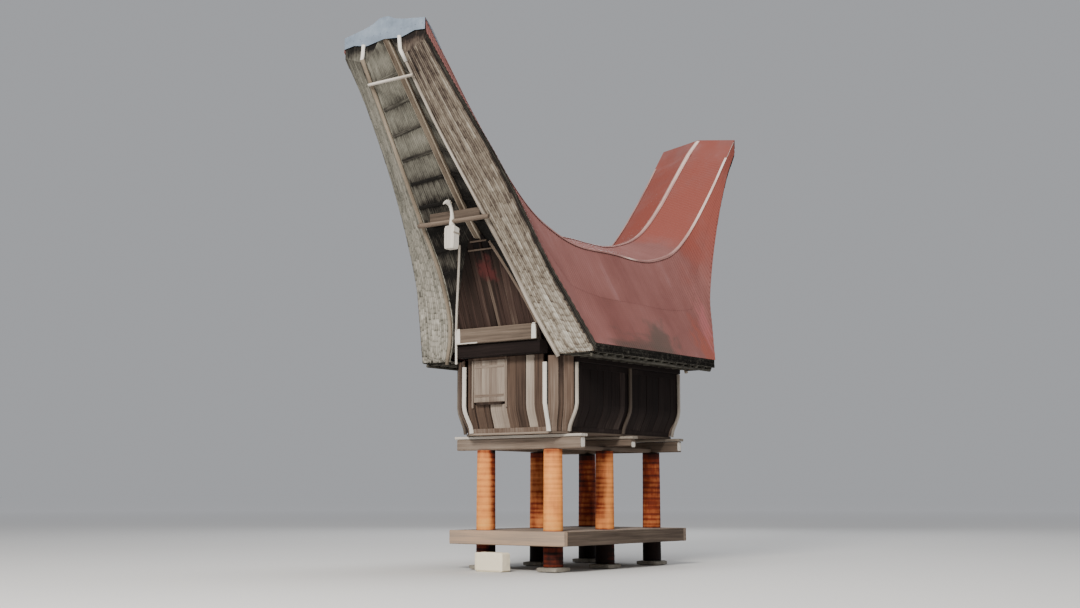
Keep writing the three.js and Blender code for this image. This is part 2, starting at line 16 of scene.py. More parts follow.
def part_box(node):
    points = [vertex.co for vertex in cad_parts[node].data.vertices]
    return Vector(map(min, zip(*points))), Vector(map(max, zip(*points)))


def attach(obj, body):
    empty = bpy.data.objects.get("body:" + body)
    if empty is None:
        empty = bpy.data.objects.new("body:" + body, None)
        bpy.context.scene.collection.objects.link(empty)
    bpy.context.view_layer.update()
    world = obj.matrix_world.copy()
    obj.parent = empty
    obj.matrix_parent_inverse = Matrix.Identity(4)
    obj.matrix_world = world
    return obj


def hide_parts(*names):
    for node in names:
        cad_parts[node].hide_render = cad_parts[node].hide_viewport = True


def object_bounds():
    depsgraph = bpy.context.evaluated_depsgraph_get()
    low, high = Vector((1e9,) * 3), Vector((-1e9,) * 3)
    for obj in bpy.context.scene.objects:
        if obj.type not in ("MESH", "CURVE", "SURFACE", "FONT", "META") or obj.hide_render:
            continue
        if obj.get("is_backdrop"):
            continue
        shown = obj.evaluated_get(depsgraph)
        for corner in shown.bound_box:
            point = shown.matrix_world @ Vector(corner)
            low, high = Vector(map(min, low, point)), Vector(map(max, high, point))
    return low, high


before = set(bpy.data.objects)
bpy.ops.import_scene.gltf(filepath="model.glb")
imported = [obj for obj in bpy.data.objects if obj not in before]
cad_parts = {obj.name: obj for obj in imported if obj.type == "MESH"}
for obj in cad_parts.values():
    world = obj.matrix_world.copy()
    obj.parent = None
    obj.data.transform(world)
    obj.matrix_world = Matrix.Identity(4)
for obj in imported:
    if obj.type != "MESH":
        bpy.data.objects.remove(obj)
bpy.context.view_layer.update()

# %% [markdown]
# ## Where the middle of the barn is
# The front prow is longer than the rear one, so the origin isn't midway between the posts. The middle
# posts give that place. It could be typed in as a number, but read from the frame it can't drift.

# %% Find the middle of the posts
post_low, post_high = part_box("post_middle_left")
MIDDLE = (post_low.y + post_high.y) / 2
print("the posts are centred on y =", round(MIDDLE, 4))

# %% [markdown]
# ## The camera
# The photograph was taken low down, from the right of the front. The camera stands at the same place,
# so each face is seen at the same slant. The photograph's own lens is very wide, and the barn fills
# little of it. A longer lens, aimed at the barn, shows the same view larger without any shift.

# %% Place the camera
EYE = Vector((16.19, -22.32 + MIDDLE, 1.42))
AIM = Vector((0.00, -1.00 + MIDDLE, 5.00))
camera_data = bpy.data.cameras.new("camera")
camera_data.sensor_width = 36.0
camera_data.lens = 47.0
camera = bpy.data.objects.new("camera", camera_data)
camera.location = EYE
camera.rotation_euler = (AIM - EYE).to_track_quat("-Z", "Y").to_euler()
bpy.context.scene.collection.objects.link(camera)
bpy.context.scene.camera = camera
print("the camera is", round((AIM - EYE).length, 2), "m from what it is aimed at")

# %% [markdown]
# ## Nodes for paint
# A material in Blender is a tree of nodes. Clicking one together is the usual way. In a script each
# node needs three things: its kind, what goes in, and which result is wanted. An input is either the
# result of another node, which is linked, or a plain number, which is set.

# %% Make nodes and ramps
def wire(tree, made, inputs):
    """Links or sets the named inputs of a node."""
    for name, value in inputs.items():
        if isinstance(value, bpy.types.NodeSocket):
            tree.links.new(value, made.inputs[name])
        else:
            made.inputs[name].default_value = value


def node(tree, kind, inputs, result, **settings):
    """A new node of a kind, with its settings and inputs. Gives back its named result."""
    made = tree.nodes.new("ShaderNode" + kind)
    for name, value in settings.items():
        setattr(made, name, value)
    wire(tree, made, inputs)
    return made.outputs[result]


def coloured(tree, value, stops):
    """The value as a colour, through (place, colour) stops."""
    ramp = tree.nodes.new("ShaderNodeValToRGB")
    elements = ramp.color_ramp.elements
    while len(elements) < len(stops):
        elements.new(0.5)
    for element, (position, colour) in zip(elements, stops):
        element.position = position
        element.color = (*colour, 1)
    wire(tree, ramp, {"Fac": value})
    return ramp.outputs["Color"]


def new_finish(name):
    """An empty material, its tree and its shader."""
    finish = bpy.data.materials.new(name)
    finish.use_nodes = True
    return finish, finish.node_tree, finish.node_tree.nodes["Principled BSDF"]


# %% [markdown]
# ## Floor and light
# The photograph has flat light from a bright overcast sky, a little stronger from the right. A sky
# picture would give that, but plain studio light is asked for. A pale world and three large soft
# lamps come close: one high at the front, one straight above, and a weak one behind. Their light
# doesn't reach the horizon, so the paint of the floor is paler far out, and no dark band shows there.

# %% Lay the floor
FLOOR_REACH = 400.0
PALE_AT = 90.0
floor_paint, tree, shader = new_finish("floor_paint")
spot = node(tree, "TexCoord", {}, "Object")
away = node(tree, "VectorMath", {0: spot}, "Value", operation="LENGTH")
share = node(tree, "MapRange", {"Value": away, "From Max": PALE_AT}, "Result")
paint_colour = coloured(tree, share, [(0.16, (0.72, 0.71, 0.69)), (1.0, (1.0, 1.0, 1.0))])
wire(tree, shader, {"Base Color": paint_colour, "Roughness": 0.9, "Specular IOR Level": 0.0})
corners = [(-FLOOR_REACH, -FLOOR_REACH, 0), (FLOOR_REACH, -FLOOR_REACH, 0),
           (FLOOR_REACH, FLOOR_REACH, 0), (-FLOOR_REACH, FLOOR_REACH, 0)]
mesh = bpy.data.meshes.new("floor")
mesh.from_pydata(corners, [], [(0, 1, 2, 3)])
mesh.materials.append(floor_paint)
floor = bpy.data.objects.new("floor", mesh)
bpy.context.scene.collection.objects.link(floor)
floor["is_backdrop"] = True
print("the floor is", 2 * FLOOR_REACH, "m wide")

# %% Hang the lamps and light the world
def soft_lamp(name, place, aim, size, power, colour):
    data = bpy.data.lights.new(name, "AREA")
    data.shape = "DISK"
    data.size = size
    data.energy = power
    data.color = colour
    lamp = bpy.data.objects.new(name, data)
    lamp.location = place
    lamp.rotation_euler = (Vector(aim) - Vector(place)).to_track_quat("-Z", "Y").to_euler()
    bpy.context.scene.collection.objects.link(lamp)


soft_lamp("lamp_front", (9, -24, 17), (0, -1, 3.5), 8, 8600, (1.0, 0.96, 0.90))
soft_lamp("lamp_above", (3, 1, 27), (0, 0, 4.0), 17, 2900, (0.97, 0.98, 1.0))
soft_lamp("lamp_rear", (-14, 22, 16), (0, 0, 4.5), 12, 1300, (0.94, 0.97, 1.0))
world = bpy.data.worlds.new("studio")
world.use_nodes = True
wire(world.node_tree, world.node_tree.nodes["Background"], {"Color": (0.93, 0.95, 1.0, 1), "Strength": 0.42})
bpy.context.scene.world = world
print("3 lamps and a pale world")

# %% [markdown]
# ## Shapes in plain numbers
# Almost all of the barn is long: posts, boards, bars and split bamboo. Each could be a modelled cube
# or cylinder that is stretched. Here a long piece is a cross-section carried along a path, and a
# covering is a net of points, because then every vertex also knows its place along the grain. That
# place is kept in the attribute "grain", in metres, and the finishes lay their streaks by it.
# A second attribute, "tone", makes one board a little darker or paler than the next.

# %% Points and directions
GRAIN_SHIFT = np.array((7.3, 3.1, 1.7))


def stacked(x, y, z):
    """Points from three numbers or arrays that fit each other."""
    return np.stack(np.broadcast_arrays(x, y, z), axis=-1)


def unit(vectors):
    return vectors / np.linalg.norm(vectors, axis=-1, keepdims=True)


def run_along(line):
    """How far each point of a line is from its start, in metres along the line."""
    return np.concatenate([[0], np.cumsum(np.linalg.norm(np.diff(line, axis=0), axis=1))])


def straight(start, end, count=2):
    """Evenly spaced points from one place to another."""
    return np.linspace(np.asarray(start, float), np.asarray(end, float), count)


# %% Nets and bars
def net(points, grain, tone=0.0, turned=False):
    """A covering over rows and columns of points. turned flips the side that it faces."""
    rows, columns = points.shape[:2]
    index = np.arange(rows * columns).reshape(rows, columns)
    quads = np.stack([index[:-1, :-1], index[:-1, 1:], index[1:, 1:], index[1:, :-1]], axis=-1)
    quads = quads.reshape(-1, 4)[:, ::-1 if turned else 1]
    tones = np.broadcast_to(tone, (rows, columns)).reshape(-1)
    return points.reshape(-1, 3), [tuple(q) for q in quads.tolist()], grain.reshape(-1, 3), tones


def ring_faces(rings, corners):
    """The faces between rings of points that follow each other."""
    return [(i * corners + k, i * corners + (k + 1) % corners, (i + 1) * corners + (k + 1) % corners,
             (i + 1) * corners + k) for i in range(rings - 1) for k in range(corners)]


def bar(path, section, side, tone=0.0, seed=0.0, swell=1.0):
    """A section of (across, out) points carried along a path. side points across it, and swell scales
    the section. side, tone and swell may also be given for each station of the path."""
    path = np.asarray(path, float)
    section = np.asarray(section, float)
    steps = unit(np.gradient(path, axis=0))
    sides = np.broadcast_to(np.asarray(side, float), path.shape)
    sides = unit(sides - steps * np.sum(sides * steps, axis=1, keepdims=True))
    outs = np.cross(sides, steps)
    count, corners = len(path), len(section)
    scale = np.broadcast_to(np.asarray(swell, float), count)[:, None]
    across, out = section[None, :, 0] * scale, section[None, :, 1] * scale
    points = path[:, None] + across[..., None] * sides[:, None] + out[..., None] * outs[:, None]
    grain = stacked(run_along(path)[:, None], across, out) + seed * GRAIN_SHIFT
    first, last = tuple(range(corners)), tuple(range((count - 1) * corners, count * corners))
    tones = np.repeat(np.broadcast_to(np.asarray(tone, float), count), corners)
    faces = ring_faces(count, corners) + [first[::-1], last]
    return points.reshape(-1, 3), faces, grain.reshape(-1, 3), tones


# %% Cross-sections and hand-cut edges
def squared(width, depth, edge=0.006):
    """A sawn section with its four corners taken off."""
    w, d = width / 2, depth / 2
    return [(-w + edge, -d), (-w, -d + edge), (-w, d - edge), (-w + edge, d),
            (w - edge, d), (w, d - edge), (w, -d + edge), (w - edge, -d)]


def oval(width, depth, sides):
    """A round or oval section, turning the same way as the squared one."""
    return [(width * math.cos(-2 * math.pi * k / sides), depth * math.sin(-2 * math.pi * k / sides))
            for k in range(sides)]


def round_section(radius, sides):
    return oval(radius, radius, sides)


# Blender's vector noise starts from the clock unless it gets a seed, and then no two runs are alike.
# With this seed no hand-cut board or beam comes out far enough to hide the pale end beside it.
NOISE_SEED = 23
noise.seed_set(NOISE_SEED)


def hewn(path, amount, seed):
    """The path of a hand-cut piece, which wanders by a few millimetres."""
    path = np.array(path, float)
    for point in path:
        point += amount * np.array(noise.noise_vector(Vector(point) * 0.9 + Vector((seed, 0, 0))))
    return path


def uneven(count, amount, seed):
    """Small swells and hollows for the stations of a bar."""
    return [1 + amount * noise.noise(Vector((k * 0.61, seed * 5.7, 0.3))) for k in range(count)]


# %% Put shapes together into one piece on the frame
def lay(name, shapes, finish, nodes=(), smooth=False):
    """Joins the shapes into one object that rides on the frame and stands for the nodes."""
    points, faces, grain, tones, start = [], [], [], [], 0
    for shape in shapes:
        points.append(shape[0])
        faces.extend(tuple(i + start for i in face) for face in shape[1])
        grain.append(shape[2])
        tones.append(shape[3])
        start += len(shape[0])
    mesh = bpy.data.meshes.new(name)
    mesh.from_pydata(np.concatenate(points).tolist(), [], faces)
    mesh.attributes.new("grain", "FLOAT_VECTOR", "POINT").data.foreach_set(
        "vector", np.concatenate(grain).astype(np.float32).ravel())
    mesh.attributes.new("tone", "FLOAT", "POINT").data.foreach_set(
        "value", np.concatenate(tones).astype(np.float32))
    mesh.polygons.foreach_set("use_smooth", [smooth] * len(faces))
    mesh.materials.append(finish)
    piece = bpy.data.objects.new(name, mesh)
    bpy.context.scene.collection.objects.link(piece)
    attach(piece, "root")
    if nodes:
        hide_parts(*nodes)
    print(f"{name}: {len(shapes)} parts, {len(faces)} faces")


# %% [markdown]
# ## Finishes
# Every surface on this barn is weathered, and none is one flat colour. A finish could be a photograph
# of wood laid on the piece, but image textures aren't used. Here each finish adds up a few noise
# patterns, each stretched along the grain or down the slope, and turns the sum into colour with a
# ramp. The same sum drives a fine bump, so a dark streak is also a shallow groove.

# %% Patterns and sums
def pattern(tree, place, stretch, detail=5.0):
    """Noise that is stretched: a small number along an axis makes it long that way."""
    spread = node(tree, "Mapping", {"Vector": place, "Scale": stretch}, "Vector")
    return node(tree, "TexNoise", {"Vector": spread, "Scale": 1.0, "Detail": detail, "Roughness": 0.6},
                "Fac")


def weighed(tree, value, weight, total):
    """total + value * weight, where total is a socket or a number."""
    return node(tree, "Math", {0: value, 1: weight, 2: total}, "Value", operation="MULTIPLY_ADD")


def stained(tree, colour, spot, place, reach, tint, stretch):
    """A soft patch with a ragged edge at a place of the barn, drawn out by the stretch."""
    shifted = node(tree, "Mapping", {"Vector": spot, "Location": place, "Scale": stretch}, "Vector",
                   vector_type="TEXTURE")
    away = node(tree, "VectorMath", {0: shifted}, "Value", operation="LENGTH")
    lobes = pattern(tree, spot, tuple(1.5 / (reach * size) for size in stretch))
    ragged = weighed(tree, lobes, -2.6 * reach, weighed(tree, away, 1.0, 1.3 * reach))
    amount = node(tree, "MapRange", {"Value": ragged, "From Min": reach, "From Max": 0.25 * reach,
                                     "To Max": 0.85}, "Result", interpolation_type="SMOOTHSTEP")
    return node(tree, "Mix", {"Factor": amount, "A": colour, "B": (*tint, 1)}, "Result", data_type="RGBA")


# %% The recipe that all finishes share
def weathered(name, stops, grains, relief=0.004, roughness=(0.7, 0.95), metallic=0.0, shine=0.15,
              stains=()):
    """A finish from (stretch, weight, detail) grain patterns and (place, reach, colour, stretch) stains.
    The bump is relief deep, in metres, and dark streaks are glossier than pale ones."""
    finish, tree, shader = new_finish(name)
    grain = node(tree, "Attribute", {}, "Vector", attribute_name="grain")
    tone = node(tree, "Attribute", {}, "Fac", attribute_name="tone")
    total = weighed(tree, tone, 1.0, 0.5 - 0.5 * sum(weight for _, weight, _ in grains))
    for stretch, weight, detail in grains:
        total = weighed(tree, pattern(tree, grain, stretch, detail), weight, total)
    colour = coloured(tree, total, stops)
    spot = node(tree, "TexCoord", {}, "Object")
    for stain in stains:
        colour = stained(tree, colour, spot, *stain)
    bump = node(tree, "Bump", {"Strength": 0.8, "Distance": relief, "Height": total}, "Normal")
    gloss = node(tree, "MapRange", {"Value": total, "To Min": roughness[0], "To Max": roughness[1]},
                 "Result")
    wire(tree, shader, {"Base Color": colour, "Normal": bump, "Roughness": gloss, "Metallic": metallic,
                        "Specular IOR Level": shine})
    return finish


# %% [markdown]
# The numbers of a stretch are repeats for each metre: along the grain, across it and through it. Wood
# has long streaks, so its first number is small and the others large. The colours run from the dark
# of the gaps and grooves to the bleached grey of the ridges.

# %% Finishes of the timber
LONG_GRAIN = [((0.7, 26, 26), 0.55, 6.0), ((2.5, 90, 90), 0.25, 3.0), ((0.5, 2.2, 2.2), 0.45, 3.0)]
LOFT_RED = (0.30, (0.072, 0.018, 0.017), (0.85, 1.0, 1.2))
grey_timber = weathered("grey_timber", [
    (0.10, (0.045, 0.033, 0.025)), (0.42, (0.17, 0.128, 0.098)), (0.62, (0.31, 0.246, 0.196)),
    (0.92, (0.52, 0.358, 0.248))], LONG_GRAIN)
wall_wood = weathered("wall_wood", [
    (0.08, (0.032, 0.020, 0.015)), (0.36, (0.115, 0.075, 0.054)), (0.58, (0.23, 0.178, 0.142)),
    (0.80, (0.37, 0.308, 0.250)), (0.98, (0.50, 0.44, 0.36))], LONG_GRAIN)
gable_wood = weathered("gable_wood", [
    (0.10, (0.006, 0.004, 0.0035)), (0.42, (0.021, 0.013, 0.010)), (0.62, (0.052, 0.031, 0.025)),
    (0.95, (0.20, 0.155, 0.115))], LONG_GRAIN,
    stains=[((0.09, -2.72 + MIDDLE, 5.40), *LOFT_RED), ((-0.09, 2.66 + MIDDLE, 5.40), *LOFT_RED)])
# Near-black wood, partly its own dark colour and partly painted shade: side walls, eave plates, gable beams.
dark_shaded_wood = weathered("dark_shaded_wood", [
    (0.10, (0.003, 0.0024, 0.0022)), (0.50, (0.011, 0.0068, 0.0060)), (0.75, (0.026, 0.018, 0.016)),
    (0.98, (0.075, 0.056, 0.048))], LONG_GRAIN)
limewash = weathered("limewash", [
    (0.05, (0.09, 0.07, 0.055)), (0.30, (0.33, 0.285, 0.235)), (0.50, (0.62, 0.575, 0.51)),
    (0.80, (0.80, 0.77, 0.71))], LONG_GRAIN)
palm = weathered("palm", [
    (0.03, (0.010, 0.004, 0.003)), (0.14, (0.052, 0.010, 0.006)), (0.32, (0.21, 0.033, 0.012)),
    (0.54, (0.60, 0.200, 0.062)), (0.76, (0.93, 0.350, 0.085)), (0.98, (0.98, 0.49, 0.135))],
    [((1.6, 9, 9), 0.32, 5.0), ((7, 2.0, 2.0), 0.30, 4.0), ((2.0, 3.0, 3.0), 0.45, 3.0)])
pole_bamboo = weathered("pole_bamboo", [
    (0.08, (0.07, 0.05, 0.035)), (0.38, (0.27, 0.22, 0.165)), (0.62, (0.44, 0.39, 0.32)),
    (0.92, (0.62, 0.57, 0.50))],
    [((0.8, 14, 14), 0.45, 5.0), ((5, 30, 30), 0.25, 3.0), ((0.7, 1.5, 1.5), 0.35, 2.0)], relief=0.003)
print("7 timber finishes")

# %% [markdown]
# Bamboo laid in layers is grey and bleached in sunlight, and nearly black in its gaps. The red sheet
# is faded paint: its stains are soot and lichen by the eave, and deeper red where paint is newer.

# %% Finishes of the roof and of the stones
bamboo_layers = weathered("bamboo_layers", [
    (0.02, (0.008, 0.007, 0.006)), (0.12, (0.045, 0.040, 0.033)), (0.34, (0.172, 0.164, 0.134)),
    (0.58, (0.35, 0.325, 0.275)), (0.90, (0.56, 0.53, 0.465))],
    [((0.9, 60, 8), 0.42, 5.0), ((9, 20, 8), 0.32, 4.0), ((1.1, 2.6, 1.6), 0.34, 4.0)], relief=0.005)
mossy_layers = weathered("mossy_layers", [
    (0.0, (0.012, 0.009, 0.008)), (0.12, (0.065, 0.048, 0.038)), (0.32, (0.19, 0.158, 0.122)),
    (0.52, (0.335, 0.298, 0.245)), (0.72, (0.48, 0.45, 0.385)), (0.95, (0.61, 0.59, 0.52))],
    [((0.9, 60, 8), 0.36, 5.0), ((9, 20, 8), 0.34, 4.0), ((0.9, 3.4, 1.6), 0.46, 4.0),
     ((4.0, 8.0, 3.0), 0.50, 5.0)], relief=0.006)
red_sheet = weathered("red_sheet", [
    (0.10, (0.095, 0.033, 0.028)), (0.36, (0.170, 0.058, 0.048)), (0.56, (0.225, 0.088, 0.076)),
    (0.76, (0.285, 0.145, 0.140)), (0.96, (0.37, 0.21, 0.20))],
    [((2.2, 0.5, 1), 0.40, 5.0), ((0.8, 0.7, 1), 0.55, 4.0), ((9, 0.9, 1), 0.12, 4.0)],
    relief=0.0012, roughness=(0.55, 0.8), shine=0.35,
    stains=[((1.95, -0.60 + MIDDLE, 4.00), 1.00, (0.080, 0.048, 0.038), (1.0, 1.6, 0.36)),
            ((1.95, 0.32 + MIDDLE, 4.26), 0.80, (0.092, 0.060, 0.047), (1.0, 0.95, 0.85)),
            ((1.95, 1.95 + MIDDLE, 4.30), 0.55, (0.29, 0.075, 0.050), (1.0, 0.8, 1.4)),
            ((0.40, 4.10 + MIDDLE, 7.60), 2.60, (0.235, 0.047, 0.028), (1.0, 1.0, 1.5)),
            ((1.85, 2.20 + MIDDLE, 5.10), 0.45, (0.30, 0.095, 0.095), (1.0, 0.6, 3.2))])
# The finish of the folded strips; their paleness up the rear prow is a painted reflection of the sky.
painted_sheen_sheet = weathered("painted_sheen_sheet", [
    (0.15, (0.17, 0.065, 0.055)), (0.42, (0.34, 0.18, 0.16)), (0.66, (0.60, 0.40, 0.34)),
    (0.90, (0.82, 0.70, 0.64))],
    [((1.2, 6, 6), 0.6, 5.0), ((6, 20, 20), 0.3, 4.0)], relief=0.001, roughness=(0.5, 0.8))
zinc = weathered("zinc", [
    (0.10, (0.16, 0.20, 0.25)), (0.45, (0.34, 0.41, 0.50)), (0.75, (0.52, 0.60, 0.69)),
    (0.98, (0.66, 0.72, 0.78))],
    [((2.0, 3.0, 3.0), 0.45, 4.0), ((12, 2.0, 8), 0.25, 4.0)], relief=0.001,
    roughness=(0.35, 0.6), metallic=0.55)
stone = weathered("stone", [
    (0.10, (0.11, 0.095, 0.075)), (0.38, (0.34, 0.31, 0.26)), (0.60, (0.66, 0.60, 0.51)),
    (0.85, (0.98, 0.88, 0.68))],
    [((5, 5, 5), 0.45, 6.0), ((38, 38, 38), 0.30, 4.0), ((1.3, 1.3, 1.3), 0.35, 2.0)], relief=0.008)
print("6 finishes of sheet, bamboo and stone")

# %% [markdown]
# ## The lines of the roof
# The roof has no flat part. A few long curves give all of it: the ridge, the crease below the ridge,
# the outer edge, the inner edge of the thickness and the peak of the ceiling. They could be drawn as
# Blender curves, but the CAD model has them as numbers at distances from the middle of the barn, so
# the same numbers in metres give the same curves, and every covering below fits its solid.

# %% Curves along the barn
def profile(*points):
    """A smooth value through (distance, value) points."""
    places, values = np.array(points, float).T
    after = np.append(np.arange(1, len(points)), len(points) - 1)
    before = np.append(0, np.arange(len(points) - 1))
    slopes = (values[after] - values[before]) / (places[after] - places[before])

    def at(place):
        distance = np.clip(np.abs(np.asarray(place, float)), places[0], places[-1])
        i = np.clip(np.searchsorted(places, distance, side="left") - 1, 0, len(places) - 2)
        span = places[i + 1] - places[i]
        t = (distance - places[i]) / span
        return ((1 + 2 * t) * (1 - t) ** 2 * values[i] + t * t * (3 - 2 * t) * values[i + 1]
                + t * (1 - t) ** 2 * span * slopes[i] + t * t * (t - 1) * span * slopes[i + 1])

    return at


ROOF_END = 5.40
VERGE_FOOT = 2.07
INNER_FOOT = 2.17
ridge_z = profile((0, 6.42), (1.2, 6.43), (2.1, 6.67), (2.7, 6.98), (3.42, 7.57), (4.8, 8.93), (5.4, 9.42))
crease_x = profile((0, 1.0), (5.4, 0.94))
crease_drop = profile((0, 0.40), (4.2, 0.40), (4.9, 0.30), (5.4, 0.14))
outer_x = profile((2.07, 2.06), (2.43, 1.82), (2.82, 1.58), (3.67, 1.31), (4.77, 1.04), (5.4, 0.965))
outer_z = profile((2.07, 4.04), (2.82, 5.46), (3.67, 6.89), (4.77, 8.31), (5.4, 9.04))
edge_drop = profile((2.07, 0.16), (5.4, 0.10))
inner_x = profile((2.17, 1.24), (2.29, 1.07), (2.51, 0.92), (2.94, 0.79), (3.5, 0.69), (4.59, 0.50),
                  (5.4, 0.40))
inner_z = profile((2.17, 3.88), (2.29, 4.27), (2.51, 4.75), (2.94, 5.46), (3.5, 6.17), (4.59, 7.60),
                  (5.4, 8.75))
ceiling_z = profile((0, 5.6), (1.5, 5.6), (2.3, 5.72), (2.97, 6.27), (3.54, 6.93), (4.44, 8.08),
                    (5.4, 9.32))
print("ridge from", float(ridge_z(0)), "to", float(ridge_z(5.4)), "m")

# %% From a place along the roof to the frame
ENDS = (("front", -1), ("rear", 1))
SIDES = (("left", -1), ("right", 1))
REAR_SHARE = 0.88


def house_y(place):
    """The rear prow is shorter, so places behind the rear verge are drawn in."""
    place = np.asarray(place, float)
    past = np.maximum(place - VERGE_FOOT, 0)
    return place - past * (1 - REAR_SHARE) + MIDDLE


def on_roof(x, place, z):
    return stacked(x, house_y(place), z)


def inner_edge(place, across):
    return on_roof(across * inner_x(place), place, inner_z(place))


def outer_foot(place, across):
    """The lower line of the outer edge, where the verge ends."""
    return on_roof(across * (outer_x(place) - 0.02), place, outer_z(place) - edge_drop(place))


def spanned(first, second, shares):
    """Rows of points from one line to another, at a column of shares of the way."""
    return first[None] * (1 - shares[..., None]) + second[None] * shares[..., None]


ticks = np.linspace(-ROOF_END, ROOF_END, 1201)
crease_run = run_along(on_roof(crease_x(ticks), ticks, ridge_z(ticks) - crease_drop(ticks)))
print("the crease is", round(float(crease_run[-1]), 2), "m long")

# %% [markdown]
# ## Painted sheets
# The bamboo of this roof is covered with thin corrugated sheet, nailed on in courses from the eave up
# and painted red. A bump map could fake the waves, but they catch light along the curved prows, so
# they are real here: each sheet is its own net, laid on the roof surface, with its lower end lifted
# over the course below. A sheet's tone is its own too, as some have faded more.

# %% Where a sheet lies
def roof_skin(place, down, across):
    """A point of the covering. down is 0 at the ridge, 1 at the crease and 3 at the outer edge."""
    upper = np.clip(down, 0, 1)
    lower = np.clip(down - 1, 0, 2) / 2
    crease_height = ridge_z(place) - crease_drop(place)
    x = crease_x(place) * upper + (outer_x(place) - crease_x(place)) * lower
    z = ridge_z(place) - crease_drop(place) * upper + (outer_z(place) - crease_height) * lower
    return on_roof(across * x, place, z)


def raised(points, height, turned):
    """The net moved out along its own normals by a height at each point."""
    normal = np.cross(np.gradient(points, axis=1), np.gradient(points, axis=0))
    normal /= np.maximum(np.linalg.norm(normal, axis=-1, keepdims=True), 1e-9)
    return points + normal * np.asarray(height)[..., None] * (-1 if turned else 1)


# %% Cut and lay the sheets
SHEET_WIDTH = 0.76
WAVE = 0.076
WAVE_HEIGHT = 0.004
SHEET_COLUMNS = 53
OVERLAP = 0.04
fading = np.random.default_rng(11)


def sheet_at(start, course, across):
    """One sheet. Courses start at 0, 1 and 2 down the slope, and a lower one lies under the next."""
    run = np.linspace(start, min(start + SHEET_WIDTH + 0.5 * WAVE, crease_run[-1]), SHEET_COLUMNS)
    down = np.linspace(course, course + 1 + (OVERLAP if course < 2 else 0), 7)[:, None]
    place, down = np.broadcast_arrays(np.interp(run, crease_run, ticks)[None, :], down)
    lift = 0.003 * (down - course) + 0.002 * np.linspace(0, 1, SHEET_COLUMNS)[None, :] - 0.012
    wave = WAVE_HEIGHT * np.cos(2 * np.pi * run / WAVE)[None, :]
    points = raised(roof_skin(place, down, across), lift + wave, across > 0)
    return net(points, stacked(run, down * 1.1, across * 3.0), fading.normal(0, 0.03), across > 0)


for side, across in SIDES:
    sheets = [sheet_at(start, course, across) for course in (2, 1, 0)
              for start in np.arange(0, crease_run[-1] - 0.1, SHEET_WIDTH)]
    lay(f"roof_sheets_{side}", sheets, red_sheet, [f"roof_{side}"], smooth=True)

# %% [markdown]
# ## Folded strips on the ridge and the creases
# Where two sheets meet at an angle, a strip of flat sheet is folded over the joint. Up the rear prow
# the strips are painted almost white: a painted reflection of the sky. A bevel on the sheets would be
# simpler, but the strip is a piece of its own, nailed on top, and its two loose edges draw the pale
# lines of the photograph.

# %% Fold the strips
STRIP_PLACES = np.linspace(-5.0, 5.36, 150)
CAP_START = 4.86
SCRATCH = 0.62


def strip(rows, tone, layer, turned):
    """A strip over rows of (side, down, out, up, grain): lines on the roof, moved out and up."""
    points = np.stack([roof_skin(STRIP_PLACES, down, across) + stacked(across * out, 0, up)
                       for across, down, out, up, _ in rows])
    grain = stacked(STRIP_PLACES[None, :], np.array([row[-1] for row in rows])[:, None], layer)
    return net(points, grain, tone, turned)


def ridge_strip():
    """Faded red along the house, and painted pale up the rear prow as a reflection of the sky. It lies on
    the cap.
    """
    # Painted reflection: the strip turns pale up the rear prow.
    worn = np.interp(STRIP_PLACES, [-5.4, -2.0, 1.9, 3.0, 4.2, 5.4], [-0.06, -0.12, -0.06, 0.08, 0.20, 0.36])
    on_cap = np.where(STRIP_PLACES > CAP_START, 0.011, 0.0)
    rows = [(-1, 0.065, 0, 0.001 + on_cap, 0.0), (1, 0.0, 0, 0.006 + on_cap, 0.1),
            (1, 0.065, 0, 0.001 + on_cap, 0.3)]
    return strip(rows, worn[None, :] - np.array([0.24, 0.0, 0.24])[:, None], 0.0, False)


def crease_strip(across):
    """Painted highlight, paler up the rear prow on the right, with one scratched place."""
    # Painted highlight: the right crease turns pale up the rear prow.
    sheen_and_scratch = np.interp(STRIP_PLACES, [2.2, 2.8, 3.4, 5.4], [-0.14, 0.0, 0.20, 0.30])
    sheen_and_scratch = np.minimum(sheen_and_scratch, -0.05 if across < 0 else 0.30)
    sheen_and_scratch += 0.35 * np.exp(-((STRIP_PLACES - SCRATCH) / 0.22) ** 2)
    rows = [(across, 0.95, 0.0016, 0.003, 0.0), (across, 1.0, 0.004, 0.005, 0.1),
            (across, 1.03, 0.0024, 0.001, 0.2)]
    return strip(rows, sheen_and_scratch, 2.0, across > 0)


lay("ridge_strip", [ridge_strip()], painted_sheen_sheet)
lay("crease_strips", [crease_strip(across) for _, across in SIDES], painted_sheen_sheet)

# %% [markdown]
# ## The layered bamboo of the verges
# At both ends the roof shows its thickness: layer on layer of split bamboo, lying side by side and
# running down the slope. It could be hundreds of separate tubes. One net for each verge does the same
# with far fewer faces: its rows swell into round strips, and each strip steps where one length of
# bamboo ends on the next. The steps come closer together near the foot, as on the real barn. The
# right-hand verge has more moss, so it gets a finish of its own.

# %% Build one verge
STRIPS = 17
ROWS_EACH = 5
DRAWS = 61


def verge_courses(length, luck):
    """Where the courses of bamboo end, from the foot up: close together at first, then long."""
    spacing = np.interp(np.arange(60), [0, 14, 30, 60], [0.10, 0.13, 0.34, 0.6])
    ends = np.cumsum(spacing * luck.uniform(0.85, 1.15, 60))
    return np.append(0, ends[ends < length])


